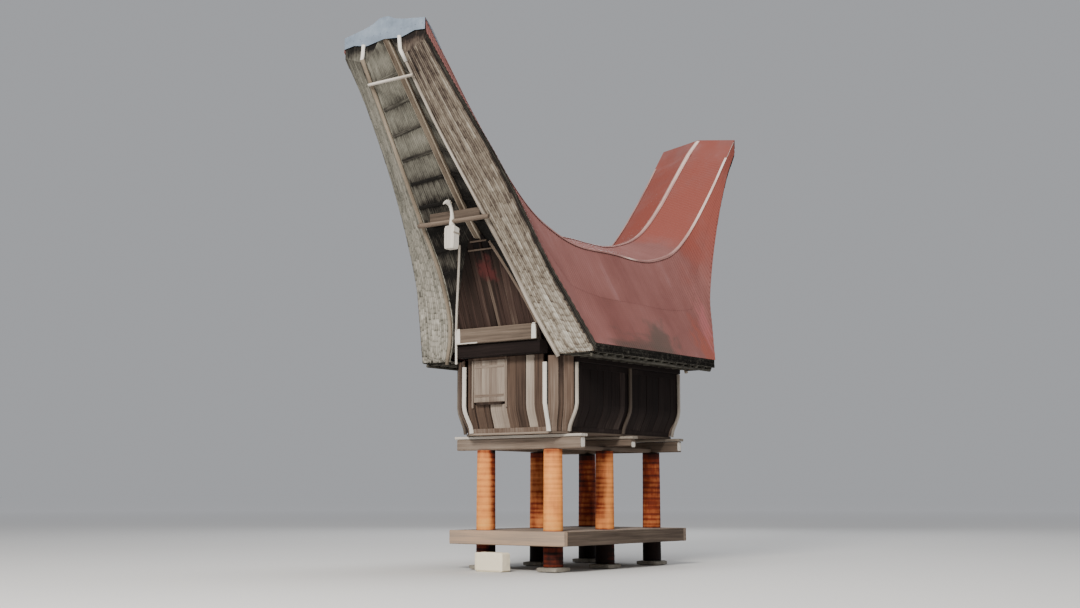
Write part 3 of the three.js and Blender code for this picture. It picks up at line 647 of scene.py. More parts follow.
def bamboo_strips(run, v, luck, dark_ones):
    """Height and tone of a verge: arched strips stepped at their courses, with painted shade at steps and
    grooves.
    """
    strip_number = np.minimum((v * STRIPS).astype(int), STRIPS - 1)
    arch = np.sqrt(np.maximum(1 - (2 * (v * STRIPS - strip_number) - 1) ** 2, 0))
    courses = verge_courses(run[-1], luck)
    patchy = np.interp(run, [0, 1.5, 3], [2.0, 1.4, 1.0])
    step_shadow = 0.34 * np.interp(run, [0, 1, 2.5, 4], [1.0, 0.75, 0.35, 0.15])
    height, tone = np.zeros((2, len(v), len(run)))
    for k in range(STRIPS):
        shifted = run + luck.uniform(-0.05, 0.05) * (1 + 0.4 * run)
        course = np.maximum(np.searchsorted(courses, shifted) - 1, 0)
        since = np.maximum(shifted - courses[course], 0)
        step = 0.006 * np.exp(-since / 0.10) + luck.uniform(-0.002, 0.002, DRAWS)[course]
        dark_one = 0.07 if k % 3 == 1 and dark_ones else 0.0
        shade = luck.normal(0, 0.04) - dark_one + luck.normal(0, 0.045, DRAWS)[course] * patchy
        mine = strip_number == k
        height[mine] = step + 0.009 * arch[mine][:, None]
        # Painted shadow at each step, and painted shade in the grooves between the strips.
        tone[mine] = shade - step_shadow * np.exp(-since / 0.020) - 0.17 * (1 - arch[mine][:, None]) ** 2
    return height, tone


def verge(across, along):
    place = along * np.linspace(VERGE_FOOT + 0.01, ROOF_END - 0.01, 330)
    v = np.linspace(0, 1, STRIPS * ROWS_EACH + 1)
    outer = outer_foot(place, across)
    run = run_along(outer)
    luck = np.random.default_rng(3 + 7 * (across > 0) + 13 * (along > 0))
    height, tone = bamboo_strips(run, v, luck, across > 0)
    # Lighter at the foot and darker up the prow, with painted shade under the cap at the top.
    tone_and_cap_shade = [0.13, 0.0, -0.16, -0.20, -0.30] if across > 0 else [0.15, 0.10, -0.05, -0.10, -0.24]
    tone += np.interp(run, [0.0, 1.2, 2.6, run[-1] - 0.7, run[-1]], tone_and_cap_shade)
    v = v[:, None]
    tone -= 0.30 * np.clip((v - 0.955) / 0.045, 0, 1)
    turned = across * along < 0
    points = raised(spanned(inner_edge(place, across), outer, v), height - 0.009, turned)
    return net(points, stacked(run, v * 0.8, 5.0 * across), tone, turned)


BAMBOO_FINISHES = {"left": bamboo_layers, "right": mossy_layers}
for end, along in ENDS:
    for side, across in SIDES:
        lay(f"verge_{end}_{side}", [verge(across, along)], BAMBOO_FINISHES[side], smooth=True)

# %% [markdown]
# ## The outer edge of the roof
# Along the eaves one looks straight into the ends of the bamboo, row over row. Up the verges the same
# edge shows long strips again. A texture of rings would be flat, so the ends are real short tubes,
# with a hollow in each.

# %% Tube ends along the eaves
TUBE_RADIUS = 0.024
TUBE_STEP = 0.052


def tube_end(centre, across, tone):
    """A short tube that faces outwards, with painted shade in its hollow."""
    sides = 7
    angle = 2 * np.pi * np.arange(sides) / sides
    circle = stacked(0.0, np.cos(angle), np.sin(angle)) * TUBE_RADIUS
    rings = [centre + np.array((across * reach, 0, 0)) + circle * size
             for reach, size in ((-0.03, 1.0), (0.0, 1.0), (0.0, 0.72), (-0.035, 0.68))]
    faces = ring_faces(4, sides)
    hollow = tuple(range(3 * sides, 4 * sides))
    if across > 0:
        faces = [face[::-1] for face in faces]
    else:
        hollow = hollow[::-1]
    points = np.concatenate(rings)
    return points, faces + [hollow], points * 3, np.repeat([tone, tone, tone - 0.1, -0.5], sides)


def roof_edge(across):
    """The edge between the sheet and the foot of the outer layer, as three round strips, painted dark as
    shade.
    """
    place = np.linspace(-ROOF_END + 0.01, ROOF_END - 0.01, 260)
    v = np.linspace(0, 1, 13)[:, None]
    top = on_roof(across * outer_x(place), place, outer_z(place))
    flat = spanned(top, outer_foot(place, across), v)
    arch = np.broadcast_to(np.abs(np.sin(3 * np.pi * v)), flat.shape[:2])
    points = raised(flat, 0.009 * arch - 0.026, across > 0)
    return net(points, stacked(place, v * 0.2, 9.0), -0.50 + 0.12 * arch, across > 0)


ends_luck = np.random.default_rng(21)
for side, across in SIDES:
    tubes = []
    for row, z in enumerate((3.905, 3.955, 4.003)):
        for y in np.arange(-VERGE_FOOT + 0.04 + 0.026 * (row % 2), VERGE_FOOT - 0.02, TUBE_STEP):
            height = z + ends_luck.uniform(-0.004, 0.004)
            centre = (across * (2.035 + 0.005 * row), float(house_y(y)), height)
            # The tube ends are painted dark: painted shade under the eave.
            tubes.append(tube_end(centre, across, ends_luck.normal(-0.44, 0.05)))
    lay(f"eave_ends_{side}", [roof_edge(across)] + tubes, bamboo_layers)

# %% [markdown]
# ## Under the eaves and under the prows
# Seen from the ground, the underside of the roof is a lining of split bamboo on rafters. Under the
# prows the lining lies on cross battens, and the photograph shows them as dark rungs. They could be
# one ribbed net, but the battens cast shadows on the lining, so they are separate bars. Painted shade
# is added as well: a dark band along each batten, and more lower down the prow and in its right half.

# %% Line the prows
RUNG_START = 2.62
RUNG_STEP = 0.285
RUNG_LEAN = 0.62
SHADE_HEIGHTS = [6.0, 6.7, 7.4]


def prow_lining(across, along):
    """Split bamboo under a prow, with painted shade along each rung, lower down, in the right half and near
    the peak.
    """
    turned = across * along > 0
    place = along * np.linspace(INNER_FOOT + 0.02, ROOF_END - 0.01, 300)
    v = np.linspace(0, 1, 89)[:, None]
    inner = inner_edge(place, across)
    flat = spanned(inner, on_roof(0.0, place, ceiling_z(place)), v)
    arch = np.broadcast_to(np.abs(np.sin(22 * np.pi * v)), flat.shape[:2])
    # Painted shade: a band along each rung, lower down the prow, in the right half and towards the peak.
    rung = (np.abs(place) + RUNG_LEAN * np.abs(inner[:, 0]) * v - RUNG_START) / RUNG_STEP
    rung_shade = np.exp(-((rung - np.round(rung)) * RUNG_STEP / 0.070) ** 2)
    deep_shade = np.interp(flat[..., 2], SHADE_HEIGHTS, [0.34, 0.20, 0.0]) * (1.0 if across > 0 else 0.75)
    tone = -0.19 + 0.05 * arch - 0.10 * (across > 0) - 0.15 * np.clip(v - 0.7, 0, 1)
    tone = tone - 0.13 * rung_shade - deep_shade
    grain = stacked(np.abs(place) * 1.6, v * 0.6, 2.0 * across)
    return net(raised(flat, 0.004 * arch - 0.004, turned), grain, tone, turned)


def prow_battens(along):
    """Dark rungs, square to the line of the prow, so their upper ends lie nearer to the house."""
    battens = []
    for k, distance in enumerate(np.arange(RUNG_START, ROOF_END - 0.02, RUNG_STEP)):
        upper = distance - RUNG_LEAN * float(inner_x(distance))
        # The battens get the same painted shade lower down the prow.
        tone = -0.36 - float(np.interp(inner_z(distance), SHADE_HEIGHTS, [0.30, 0.20, 0.0]))
        for _, across in SIDES:
            low = on_roof(across * inner_x(distance), along * distance, inner_z(distance) - 0.006)
            high = on_roof(across * 0.05, along * upper, ceiling_z(upper) - 0.055)
            battens.append(bar(straight(low, high, 4), squared(0.060, 0.024), (0, along, 1.2), tone, k))
    return battens


for end, along in ENDS:
    shapes = [prow_lining(across, along) for _, across in SIDES] + prow_battens(along)
    lay(f"prow_ceiling_{end}", shapes, bamboo_layers)

# %% [markdown]
# Beside the walls the lining is level and rests on round rafters, with one rail below them. From the
# ground this is a dark, ribbed band; its dark tones are painted shade. A flat dark plane would leave
# the rafters out, so they are bars.

# %% Line the eaves
EAVE_SEAT = 3.88


def eave_lining(across):
    """Twelve rows of split bamboo, the rafters below them and a rail that carries them, painted dark as
    shade.
    """
    place = np.linspace(-VERGE_FOOT, VERGE_FOOT, 3)
    x = across * np.linspace(1.24, 2.045, 60)[:, None]
    arch = np.abs(np.sin(np.linspace(0, 12 * np.pi, 60)))[:, None]
    points = on_roof(x, place, EAVE_SEAT + 0.012 - 0.012 * arch)
    # The lining, rafters and rail are painted dark: painted shade under the eave.
    shapes = [net(points, stacked(place, x, 4.0), -0.38 + 0.1 * arch, across < 0)]
    for k, y in enumerate(np.arange(-1.95, 2.0, 0.26)):
        path = on_roof(across * np.linspace(1.44, 2.02, 3), y, 3.862)
        shapes.append(bar(path, round_section(0.026, 8), (0, 1, 0), -0.36, k))
    rail = on_roof(across * 1.93, np.linspace(-2.05, 2.05, 9), 3.835)
    return shapes + [bar(rail, round_section(0.03, 8), (1, 0, 0), -0.34, 5)]


for side, across in SIDES:
    lay(f"eave_lining_{side}", eave_lining(across), bamboo_layers)

# %% [markdown]
# ## Poles, bars and the ridge beam
# A peeled bamboo pole closes the inner edge of each verge, and two bars tie each pair of poles
# together. A bevelled curve would make a pole quickly. The bar shape from above is used again
# instead, with a swell at each node of the bamboo, because it carries the grain for the finish.

# %% Put pieces at the front or the rear
def drawn_in(points):
    """House points, with the rear prow drawn in and the posts' middle added."""
    points = np.array(points, float)
    points[..., 1] = house_y(points[..., 1])
    return points


def turned_round(points, along):
    """Points made for the front, turned round if they are for the rear."""
    points = np.array(points, float)
    if along > 0:
        points[..., :2] *= -1
    return points


def at_end(points, along):
    return drawn_in(turned_round(points, along))


# %% The line of a pole
POLE_OUT = 0.046


def pole_line(d, across, along):
    """The centre of a pole beside the inner edge of a verge, and the way straight out of the verge."""
    def inner(at):
        return stacked(across * inner_x(at), along * at, inner_z(at))

    tangent = unit(inner(np.minimum(d + 0.02, ROOF_END)) - inner(np.maximum(d - 0.02, INNER_FOOT)))
    edge = stacked(across * (outer_x(d) - 0.02), along * d, outer_z(d) - edge_drop(d))
    band = edge - inner(d)
    band = unit(band - tangent * np.sum(band * tangent, axis=1, keepdims=True))
    out = np.cross(tangent, band)
    out = np.where(out[:, 1:2] * along < 0, -out, out)
    centres = inner(d) + POLE_OUT * (band + 0.82 * out)
    centres[0] += unit(centres[0] - centres[1]) * 0.07
    centres[-1] += unit(centres[-1] - centres[-2]) * 0.085
    return centres, out


def knots(count, spacing, height):
    """The swell at each node of a bamboo."""
    return 1 + height * np.exp(-((np.arange(count) % spacing) - spacing // 2) ** 2 / 0.6)


# %% Set the poles and their pale sleeves
POLE_PLACES = np.linspace(INNER_FOOT, ROOF_END, 86)
for end, along in ENDS:
    sleeves = []
    for side, across in SIDES:
        centres, _ = pole_line(POLE_PLACES, across, along)
        pale = (end, side) == ("front", "right")
        thick = np.interp(POLE_PLACES, [2.2, 3.5, 3.9, 5.4], [1.2, 1.1, 0.82, 0.78]) if pale else 1.1
        shape = bar(drawn_in(centres), round_section(0.032, 12), (1, 0, 0), -0.16 if pale else -0.12,
                    across + 3 * along, swell=thick * knots(len(centres), 9, 0.08))
        lay(f"pole_{end}_{side}_bamboo", [shape], limewash if pale else pole_bamboo,
            [f"pole_{end}_{side}"], smooth=True)
        tip = centres[-1]
        lean = 0.06 if side == "right" else 0.0
        stub = [centres[-3], tip, tip + (-lean / 3, -along * 0.015, 0.05),
                (tip[0] - lean, along * 5.443, 9.062)]
        sleeves.append(bar(drawn_in(stub), round_section(0.034, 12), (1, 0, 0), 0.1, across))
    lay(f"pole_sleeves_{end}", sleeves, limewash, smooth=True)

# %% [markdown]
# A thick crosspiece and a thin upper bar tie the two poles of a prow together. Their heights could be
# typed in. Here they are worked out from the line of the poles, so the bars always rest on them.

# %% Tie the poles together
CROSSPIECE_AT = 3.56
UPPER_BAR_AT = 5.19


def bar_centre(distance, radius):
    """Where a bar lies on the front poles, let in by 8 mm."""
    centres, outs = pole_line(np.linspace(distance - 0.2, distance + 0.2, 5), 1, -1)
    return centres[2] + outs[2] * (POLE_OUT + radius - 0.008)


def cross_bar(distance, radius, left, right, tone, along, seed):
    _, y, z = bar_centre(distance, radius)
    path = hewn(straight((left, y, z), (right, y, z), 23), 0.004, seed)
    return bar(at_end(path, along), round_section(radius * 0.97, 12), (0, 0, 1), tone, seed,
               swell=uneven(23, 0.05, seed))


def cross_board(along):
    """A dark plank on edge that stands on the crosspiece, between the poles."""
    _, y, z = bar_centre(CROSSPIECE_AT, 0.048) + (0, 0.035, 0.115)
    path = straight((-0.50, y, z), (0.66, y, z), 6)
    return bar(at_end(path, along), squared(0.17, 0.022, 0.004), (0, 0, 1), -0.34, 8)


for end, along in ENDS:
    crosspiece = cross_bar(CROSSPIECE_AT, 0.044, -0.745, 0.875, -0.14, along, 2 + along)
    upper_bar = cross_bar(UPPER_BAR_AT, 0.028, -0.48, 0.54, -0.12, along, 5 + along)
    lay(f"crosspiece_{end}_bar", [crosspiece], grey_timber, [f"crosspiece_{end}"], smooth=True)
    lay(f"crosspiece_{end}_board", [cross_board(along)], grey_timber)
    lay(f"upper_bar_{end}_bar", [upper_bar], limewash, [f"upper_bar_{end}"], smooth=True)

# %% [markdown]
# The ridge beam runs from tip to tip under the peak of the ceiling, with a batten along each of its
# lower edges. The battens are painted paler, as a lit edge, and the beam dark, as a shaded underside.
# It isn't straight, so a stretched cube won't do. It is a bar along the curve of the ceiling.

# %% Bend the ridge beam
beam_places = np.linspace(-5.35, 5.35, 120)
beam_path = on_roof(0.0, beam_places, ceiling_z(beam_places) - 0.112)
shapes = [bar(beam_path, squared(0.10, 0.13, 0.012), (1, 0, 0), -0.34, 4)]
for _, across in SIDES:
    batten_path = beam_path + np.array((across * 0.052, 0, -0.060))
    # The battens are painted paler, as the lit lower edge of the beam, and the beam dark, as its shaded
    # underside.
    shapes.append(bar(batten_path, squared(0.022, 0.030, 0.004), (1, 0, 0), -0.04, across))
lay("ridge_beam_timber", shapes, pole_bamboo, ["ridge_beam"])

# %% [markdown]
# ## The bird on the crosspiece
# A beam-end block hangs below the crosspiece, and above it rises the neck and head of a bird, sawn
# from one board and carved round. A sculpted mesh would be out of scale here. The block is a tapered
# bar, and the neck is an oval section carried along its curve, thin at the throat, full at the head
# and pointed at the beak.

# %% Carve the bird
BIRD_X = 0.05
SPINE = [(0.0, -0.11, 1.5), (0.0, -0.05, 1.4), (0.002, 0.02, 1.2), (0.0, 0.10, 0.95), (-0.010, 0.17, 0.80),
         (-0.030, 0.235, 0.76), (-0.064, 0.292, 0.92), (-0.108, 0.325, 1.10), (-0.150, 0.330, 0.95),
         (-0.200, 0.310, 0.60), (-0.246, 0.272, 0.14)]
BLOCK = [(0.005, -0.10, 0.92), (-0.005, -0.14, 1.0), (-0.012, -0.40, 0.97), (-0.016, -0.47, 0.93),
         (-0.017, -0.494, 0.86)]
COLLAR = [(0.0, -0.205, 1.0), (-0.003, -0.235, 1.0)]


def bird(along):
    """The bird's pieces. Each is drawn by (forward or back, height, size) beside the crosspiece."""
    _, y, z = bar_centre(CROSSPIECE_AT, 0.048)

    def carved(line, section, tone, seed):
        back, up, size = np.array(line).T
        return bar(at_end(stacked(BIRD_X, y + back, z + up), along), section, (1, 0, 0), tone, seed, size)

    comb = [carved([(back, up, 1.0), (back + 0.012, up + 0.028, 1.0)], squared(0.014, 0.022, 0.003), -0.2, k)
            for k, (back, up) in enumerate(((-0.030, 0.318), (-0.062, 0.342), (-0.100, 0.360)))]
    return [carved(BLOCK, squared(0.226, 0.165, 0.012), 0.0, 2),
            carved(COLLAR, squared(0.230, 0.172, 0.004), -0.28, 3),
            carved(SPINE, oval(0.032, 0.044, 12), 0.05, 1)] + comb


for end, along in ENDS:
    lay(f"bird_{end}", bird(along), limewash, [f"bird_figure_{end}"])

# %% [markdown]
# ## The sheet caps on the tips
# A folded zinc sheet keeps rain out of the front tip. It is drawn up into a small peak and hangs down
# before the tip as a wavy apron. The rear tip is folded from the red sheet of the roof. The cap could
# be a solid with a thickness, but a real sheet is under a millimetre thick, so it is a net with a
# rolled hem.

# %% Fold one cap
CAP_COLUMNS = 49
CAP_BACK = (4.90, 4.98, 5.08, 5.18, 5.28, 5.36, 5.40, 5.413)
CAP_APRON = ((0.04, 5.412), (0.25, 5.410), (0.5, 5.409), (0.75, 5.411), (0.97, 5.414), (1.0, 5.411))


def tip_cap(along):
    """Rows of points from the back of a cap to its front edge and down to its hem."""
    xs = np.linspace(-1, 1, CAP_COLUMNS)
    hood = np.interp(np.abs(xs), [0, 0.12, 0.27, 0.5, 1], [-0.06, -0.05, 0.02, 0.07, 0.14])
    foot = ridge_z(5.4) - np.interp(np.abs(xs), [0, 0.43, 0.75, 1], [0.325, 0.375, 0.31, 0.335])
    rows = []
    for d in CAP_BACK:
        t = min((d - CAP_BACK[0]) / 0.5, 1.0)
        rise = t * t * (3 - 2 * t) if along < 0 else 0.0
        fall = crease_drop(d) * np.abs(xs) * (1 - rise) + hood * rise
        lift = 0.007 if d > CAP_BACK[0] else -0.02
        rows.append(stacked(xs * crease_x(d), -d, ridge_z(d) + lift - fall))
    front = rows[-1][:, 2]
    for t, reach in CAP_APRON:
        dents = 0.0025 * np.array([noise.noise(Vector((x * 5.0, t * 3.0, along))) for x in xs])
        apron_y = np.minimum(-reach + dents, -5.402)
        rows.append(stacked(xs * crease_x(5.4), apron_y, front * (1 - t) + foot * t))
    points = turned_round(rows, along)
    x, y, z = np.moveaxis(points, -1, 0)
    return net(drawn_in(points), stacked(x, y + z, z), np.linspace(0.05, -0.10, len(rows))[:, None])


def nail_heads(along):
    heads = []
    for x in np.linspace(-0.88, 0.88, 12):
        path = at_end([(x, -5.411, 9.20), (x, -5.4145, 9.20)], along)
        heads.append(bar(path, round_section(0.008, 8), (1, 0, 0), -0.2, x))
    return heads


lay("tip_cap_front_sheet", [tip_cap(-1)] + nail_heads(-1), zinc, ["tip_cap_front"])
lay("tip_cap_rear_sheet", [tip_cap(1)] + nail_heads(1), red_sheet, ["tip_cap_rear"])

# %% [markdown]
# ## The cut ends of the tips
# Behind the apron of a cap one sees the cut ends of the bamboo layers, and between them those of the
# lining. They could be left open, as they are in deep shade, but light would then come through. A
# small net closes each, darker towards the top where the cap shades it.

# %% Close the tips behind the caps
TIP_AT = ROOF_END - 0.012


def tip_end(along, across, lined):
    """The cut end of one verge, or of the lining beside it."""
    inner = (float(inner_x(TIP_AT)), float(inner_z(TIP_AT)))
    outer = (float(outer_x(TIP_AT)) - 0.03, float(outer_z(TIP_AT) - edge_drop(TIP_AT)))
    (x0, z0), (x1, z1) = ((0.0, float(ceiling_z(TIP_AT))), inner) if lined else (inner, outer)
    u, v = np.linspace(0, 1, 25)[None, :], np.linspace(0, 1, 17)[:, None]
    x = x0 * (1 - u) + x1 * u
    top = float(ridge_z(TIP_AT))
    head = top - 0.02 - np.interp(x, [0, float(crease_x(TIP_AT))], [0, float(crease_drop(TIP_AT))])
    z = (z0 * (1 - u) + z1 * u) * (1 - v) + head * v
    y = along * (TIP_AT - 0.004 * np.abs(np.sin(25 * np.pi * u)))
    shaded = np.clip((z - top + 0.52) / 0.14, 0, 1)
    tone = -0.28 - 0.34 * shaded if lined else (-0.33 if across > 0 else -0.26) - 0.20 * shaded
    return net(drawn_in(stacked(across * x, y, z)), stacked(z, x * 0.8, 5.0 * across), tone,
               turned=across * along > 0)


for end, along in ENDS:
    lined = [tip_end(along, across, True) for _, across in SIDES]
    lay(f"tip_end_{end}_lining", lined, bamboo_layers)
    for side, across in SIDES:
        lay(f"tip_end_{end}_{side}", [tip_end(along, across, False)], BAMBOO_FINISHES[side])

# %% [markdown]
# ## Gables
# Under each prow a triangle of upright boards closes the loft. It leans out, and a heavy board lies
# along its foot. The boards are dark red-brown, with one paler strip where a board was renewed. One
# flat triangle with a striped texture would do from far off. Separate boards leave real gaps between
# them, and each follows the slope of the ceiling at its upper end.

# %% Where the gable meets the ceiling
GABLE_LEAN = 0.369
GABLE_FOOT = 4.16
GABLE_HEAD = 6.08


def gable_face(z):
    """How far the face of the gable is from the middle of the barn at a height."""
    return 2.28 + GABLE_LEAN * (z - 4.30)


def gable_top(x):
    """The height at which a gable board at x meets the ceiling."""
    for z in np.linspace(4.4, GABLE_HEAD, 169):
        y = gable_face(z)
        peak = ceiling_z(y)
        if z > peak + (inner_z(y) - peak) * min(abs(x) / inner_x(y), 1.0) - 0.012:
            return z
    return GABLE_HEAD


TOP_X = np.linspace(0, 1.05, 85)
TOP_Z = np.array([gable_top(x) for x in TOP_X])
print("the longest gable board is", round(float(TOP_Z[0]) - GABLE_FOOT, 2), "m high")

# %% Board up a gable
GABLE_EDGES = [-0.95, -0.86, -0.72, -0.575, -0.42, -0.27, -0.125, 0.02, 0.095, 0.235, 0.38, 0.53, 0.68, 0.80,
               0.95]
RENEWED = 7
GABLE_TONES = {RENEWED: 0.25, 10: 0.14, 5: 0.08}


def cut_to_ceiling(shape, along):
    """Cuts a board along the slope of the ceiling, and puts it in its place."""
    points, faces, grain, tones = shape
    points = np.array(points)
    cut = np.maximum(points[:, 2] - np.interp(np.abs(points[:, 0]), TOP_X, TOP_Z) + 0.004, 0)
    points[:, 2] -= cut
    points[:, 1] -= along * GABLE_LEAN * cut
    return drawn_in(points), faces, grain, tones


def gable_boards(along):
    luck = np.random.default_rng(31 + along)
    shapes = []
    for k, (left, right) in enumerate(zip(GABLE_EDGES[:-1], GABLE_EDGES[1:])):
        nearest = 0.0 if left < 0 < right else min(abs(left), abs(right))
        z = np.linspace(GABLE_FOOT, np.interp(nearest, TOP_X, TOP_Z), 8)
        x = (left + right) / 2 - (0.04 if k == RENEWED else 0.0) * (z - 4.9)
        path = stacked(x, along * (gable_face(z) - 0.022 - 0.004 * (k % 2)), z)
        tone = GABLE_TONES.get(k, luck.normal(-0.02, 0.06))
        # Painted shade towards the top of each board, under the ceiling.
        tone = tone + np.interp(z, [4.2, 5.1, 5.5, 6.0], [0.02, 0.0, -0.14, -0.40])
        board = bar(path, squared(right - left - 0.008, 0.03, 0.004), (1, 0, 0), tone, k + 0.3)
        shapes.append(cut_to_ceiling(board, along))
    return shapes


def gable_backing(along):
    """A dark sheet close behind the boards, so no light comes through their gaps."""
    x = np.linspace(-0.95, 0.95, 39)[None, :]
    foot, head = GABLE_FOOT + 0.01, np.interp(np.abs(x), TOP_X, TOP_Z) - 0.01
    z = foot + (head - foot) * np.linspace(0, 1, 9)[:, None]
    points = stacked(x, along * (gable_face(z) - 0.034), z)
    return net(drawn_in(points), points[..., [2, 0, 1]], -0.45, turned=along > 0)


# %% Strips, laths and boards on the gable
def level_strip(left, right, y, z, section, tone, seed, count=4):
    return bar(drawn_in(straight((left, y, z), (right, y, z), count)), section, (0, 0, 1), tone, seed)


def rake(across, along, width):
    """A strip on the gable that covers the joint between its boards and the ceiling."""
    z = np.linspace(4.45, 5.91, 12)
    x = np.interp(z, [4.46, 4.90, 5.34, 5.91], [0.95, 0.788, 0.601, 0.35])
    y = np.interp(z, [4.46, 4.90, 5.34, 5.91], [2.345, 2.514, 2.704, 2.97])
    path = drawn_in(stacked(across * x, along * y, z))
    return bar(path, squared(width, 0.028, 0.005), (1, 0, 0), -0.12, 9 + across)


def gable_base(along):
    """The heavy board at the foot and the one below it, two laths near the top and a dark strip."""
    path = hewn(straight((-0.93, along * 2.335, 4.302), (0.93, along * 2.335, 4.302), 12), 0.003, along)
    shapes = [bar(drawn_in(path), squared(0.285, 0.062, 0.010), (0, 0, 1), -0.19, 2 + along),
              level_strip(-0.93, 0.93, along * 2.30, 4.175, squared(0.045, 0.09), -0.42, 7, 6)]
    for z, left, right in ((5.80, -0.25, 0.34), (5.95, -0.16, 0.22)):
        y = along * (gable_face(z) + 0.008)
        shapes.append(level_strip(left, right, y, z, squared(0.030, 0.02, 0.004), -0.12, z))
    return shapes + [rake(-along, along, 0.06)]


def pale_trim(along):
    """The pale ends of the base board, and the strips that run on down to the pilaster at the left."""
    shapes = []
    for x in (-0.885, 0.885):
        path = drawn_in(stacked(x, along * 2.352, np.array((4.165, 4.30, 4.42, 4.449))))
        shapes.append(bar(path, squared(0.10, 0.032, 0.008), (1, 0, 0), 0.1, x, [1.0, 1.0, 0.9, 0.6]))
    path = np.array(((0.955, 2.345, 4.47), (0.965, 2.335, 4.30), (0.968, 2.322, 4.12), (0.970, 2.315, 3.80)))
    path[:, :2] *= along
    shapes.append(bar(drawn_in(path), squared(0.040, 0.025, 0.004), (1, 0, 0), 0.05, 3))
    shapes.append(level_strip(along * 0.93, along * 0.42, along * 2.372, 4.170, squared(0.022, 0.012, 0.003),
                              0.1, 5))
    return shapes + [rake(along, along, 0.045)]


for end, along in ENDS:
    lay(f"gable_boards_{end}", gable_boards(along) + [gable_backing(along)], gable_wood,
        [f"gable_{end}"])
    lay(f"gable_base_{end}", gable_base(along), grey_timber)
    lay(f"gable_pale_{end}", pale_trim(along), limewash)
    # The gable beam gets the near-black finish as painted shade under the base board.
    beam = level_strip(-0.98, 0.98, along * 2.18, 4.03, squared(0.24, 0.24, 0.02), 0.0, along, 8)
    lay(f"gable_beam_{end}_timber", [beam], dark_shaded_wood, [f"gable_beam_{end}"])

# %% [markdown]
# ## Walls of the granary
# The walls are boards set upright in a frame. Their feet curve inwards like the lower half of a boat,
# and slanting panels close the corners. The curve is in the CAD model as a plan of eight corners at
# each height. Each board here is carried up through that plan, so all of them bend with the wall.

# %% The plan of the walls at a height
FLOOR_TOP = 2.515
TUCK_TOP = 3.02
WALL_FOOT = 2.5155
SIDE_HEAD = 3.755
FRONT_HEAD = 3.905
BENDS = (2.5153, 2.60, 2.68, 2.76, 2.84, 2.92, TUCK_TOP)


def wall_corners(z):
    """The corners of the plan. Wall 0 is the front one, and the others follow it round."""
    t = min(max((z - FLOOR_TOP) / (TUCK_TOP - FLOOR_TOP), 0), 1)
    tuck = 1 - t * t * (3 - 2 * t)
    end_x, end_y = 1.0 - 0.08 * tuck, 2.08 - 0.13 * tuck
    side_x, side_y = 1.37 - 0.17 * tuck, 1.79 - 0.10 * tuck
    plan = [(-end_x, -end_y), (end_x, -end_y), (side_x, -side_y), (side_x, side_y),
            (end_x, end_y), (-end_x, end_y), (-side_x, side_y), (-side_x, -side_y)]
    return [np.array((x, y + MIDDLE)) for x, y in plan]


def wall_width(wall, z=3.5):
    corners = wall_corners(z)
    return float(np.linalg.norm(corners[(wall + 1) % 8] - corners[wall]))


def wall_line(wall, heights, places, out):
    """A line up a wall, and the way along the wall at each height. places are distances from the middle
    of the wall, and out is how far the line stands proud of it."""
    path, ways = [], []
    for z, place in zip(heights, np.broadcast_to(places, len(heights))):
        corners = wall_corners(z)
        start, end = corners[wall], corners[(wall + 1) % 8]
        way = unit(end - start)
        path.append((*((start + end) / 2 + way * place + np.array((way[1], -way[0])) * out), z))
        ways.append((*way, 0.0))
    return path, ways


def wall_piece(wall, place, width, bottom, top, depth, proud, tone, seed, edge=0.004, paler_foot=0.0):
    """An upright board or strip on a wall. Its face stands proud of the wall by so much."""
    heights = [bottom, *(z for z in BENDS if bottom < z < top), top]
    path, ways = wall_line(wall, heights, place, proud - depth / 2)
    tones = tone + paler_foot * np.interp(heights, [2.56, 2.72, 3.05], [1.0, 0.7, 0.0])
    return bar(path, squared(width, depth, edge), ways, tones, seed)


print("front wall", round(wall_width(0), 2), "m, side wall", round(wall_width(2), 2), "m")

# %% [markdown]
# Each board of the front wall is listed one by one, because the photograph shows each one: brown at
# the left, the grey hatch, two brown boards, a pale beige one and a brown one. A thin dark backing
# behind the boards keeps light from shining through the gaps.

# %% Board the front wall
TALL_BOARDS = ((-0.815, 0.155, -0.28), (0.135, 0.225, -0.16), (0.365, 0.225, -0.25), (0.580, 0.195, 0.24),
               (0.785, 0.205, -0.22))
BOARDS_BELOW_HATCH = ((-0.60, 0.20, -0.18), (-0.435, 0.115, -0.24), (-0.155, 0.38, 0.22))
HATCH_BOARDS = ((-0.726, -0.54, 0.09), (-0.54, -0.36, 0.18), (-0.36, -0.17, 0.08), (-0.17, 0.016, 0.16))
FRONT_Y = -2.08 + MIDDLE


def front_wall():
    """Pieces given by place, width, bottom, top, depth, how far they stand proud, tone and seed."""
    pieces =[(place, width - 0.007, 2.56, FRONT_HEAD, 0.028, -0.012 - 0.004 * (k % 2), tone, k + 0.5)
              for k, (place, width, tone) in enumerate(TALL_BOARDS)]
    pieces += [(place, width - 0.006, 2.56, 3.035, 0.028, -0.012, tone, k + 7.5)
               for k, (place, width, tone) in enumerate(BOARDS_BELOW_HATCH)]
    foot_board = (0.0, 1.78, WALL_FOOT, 2.60, 0.045, 0.002, -0.05, 11)
    low_backing = (0.0, 1.76, 2.54, 3.05, 0.006, -0.034, -0.45, 13)
    high_backing = (0.455, 0.86, 3.05, 3.90, 0.006, -0.034, -0.45, 14)
    lintel = (-0.355, 0.79, 3.862, 3.908, 0.05, 0.004, -0.1, 12)
    return [wall_piece(0, *piece) for piece in pieces + [foot_board, low_backing, high_backing, lintel]]


def hatch_ledge():
    path = [(-0.3325, FRONT_Y - 0.026, 3.031), (-0.3325, FRONT_Y - 0.026, 3.079)]
    return bar(path, squared(0.655, 0.072, 0.008), (1, 0, 0), -0.45, 3, [0.86, 1.0])


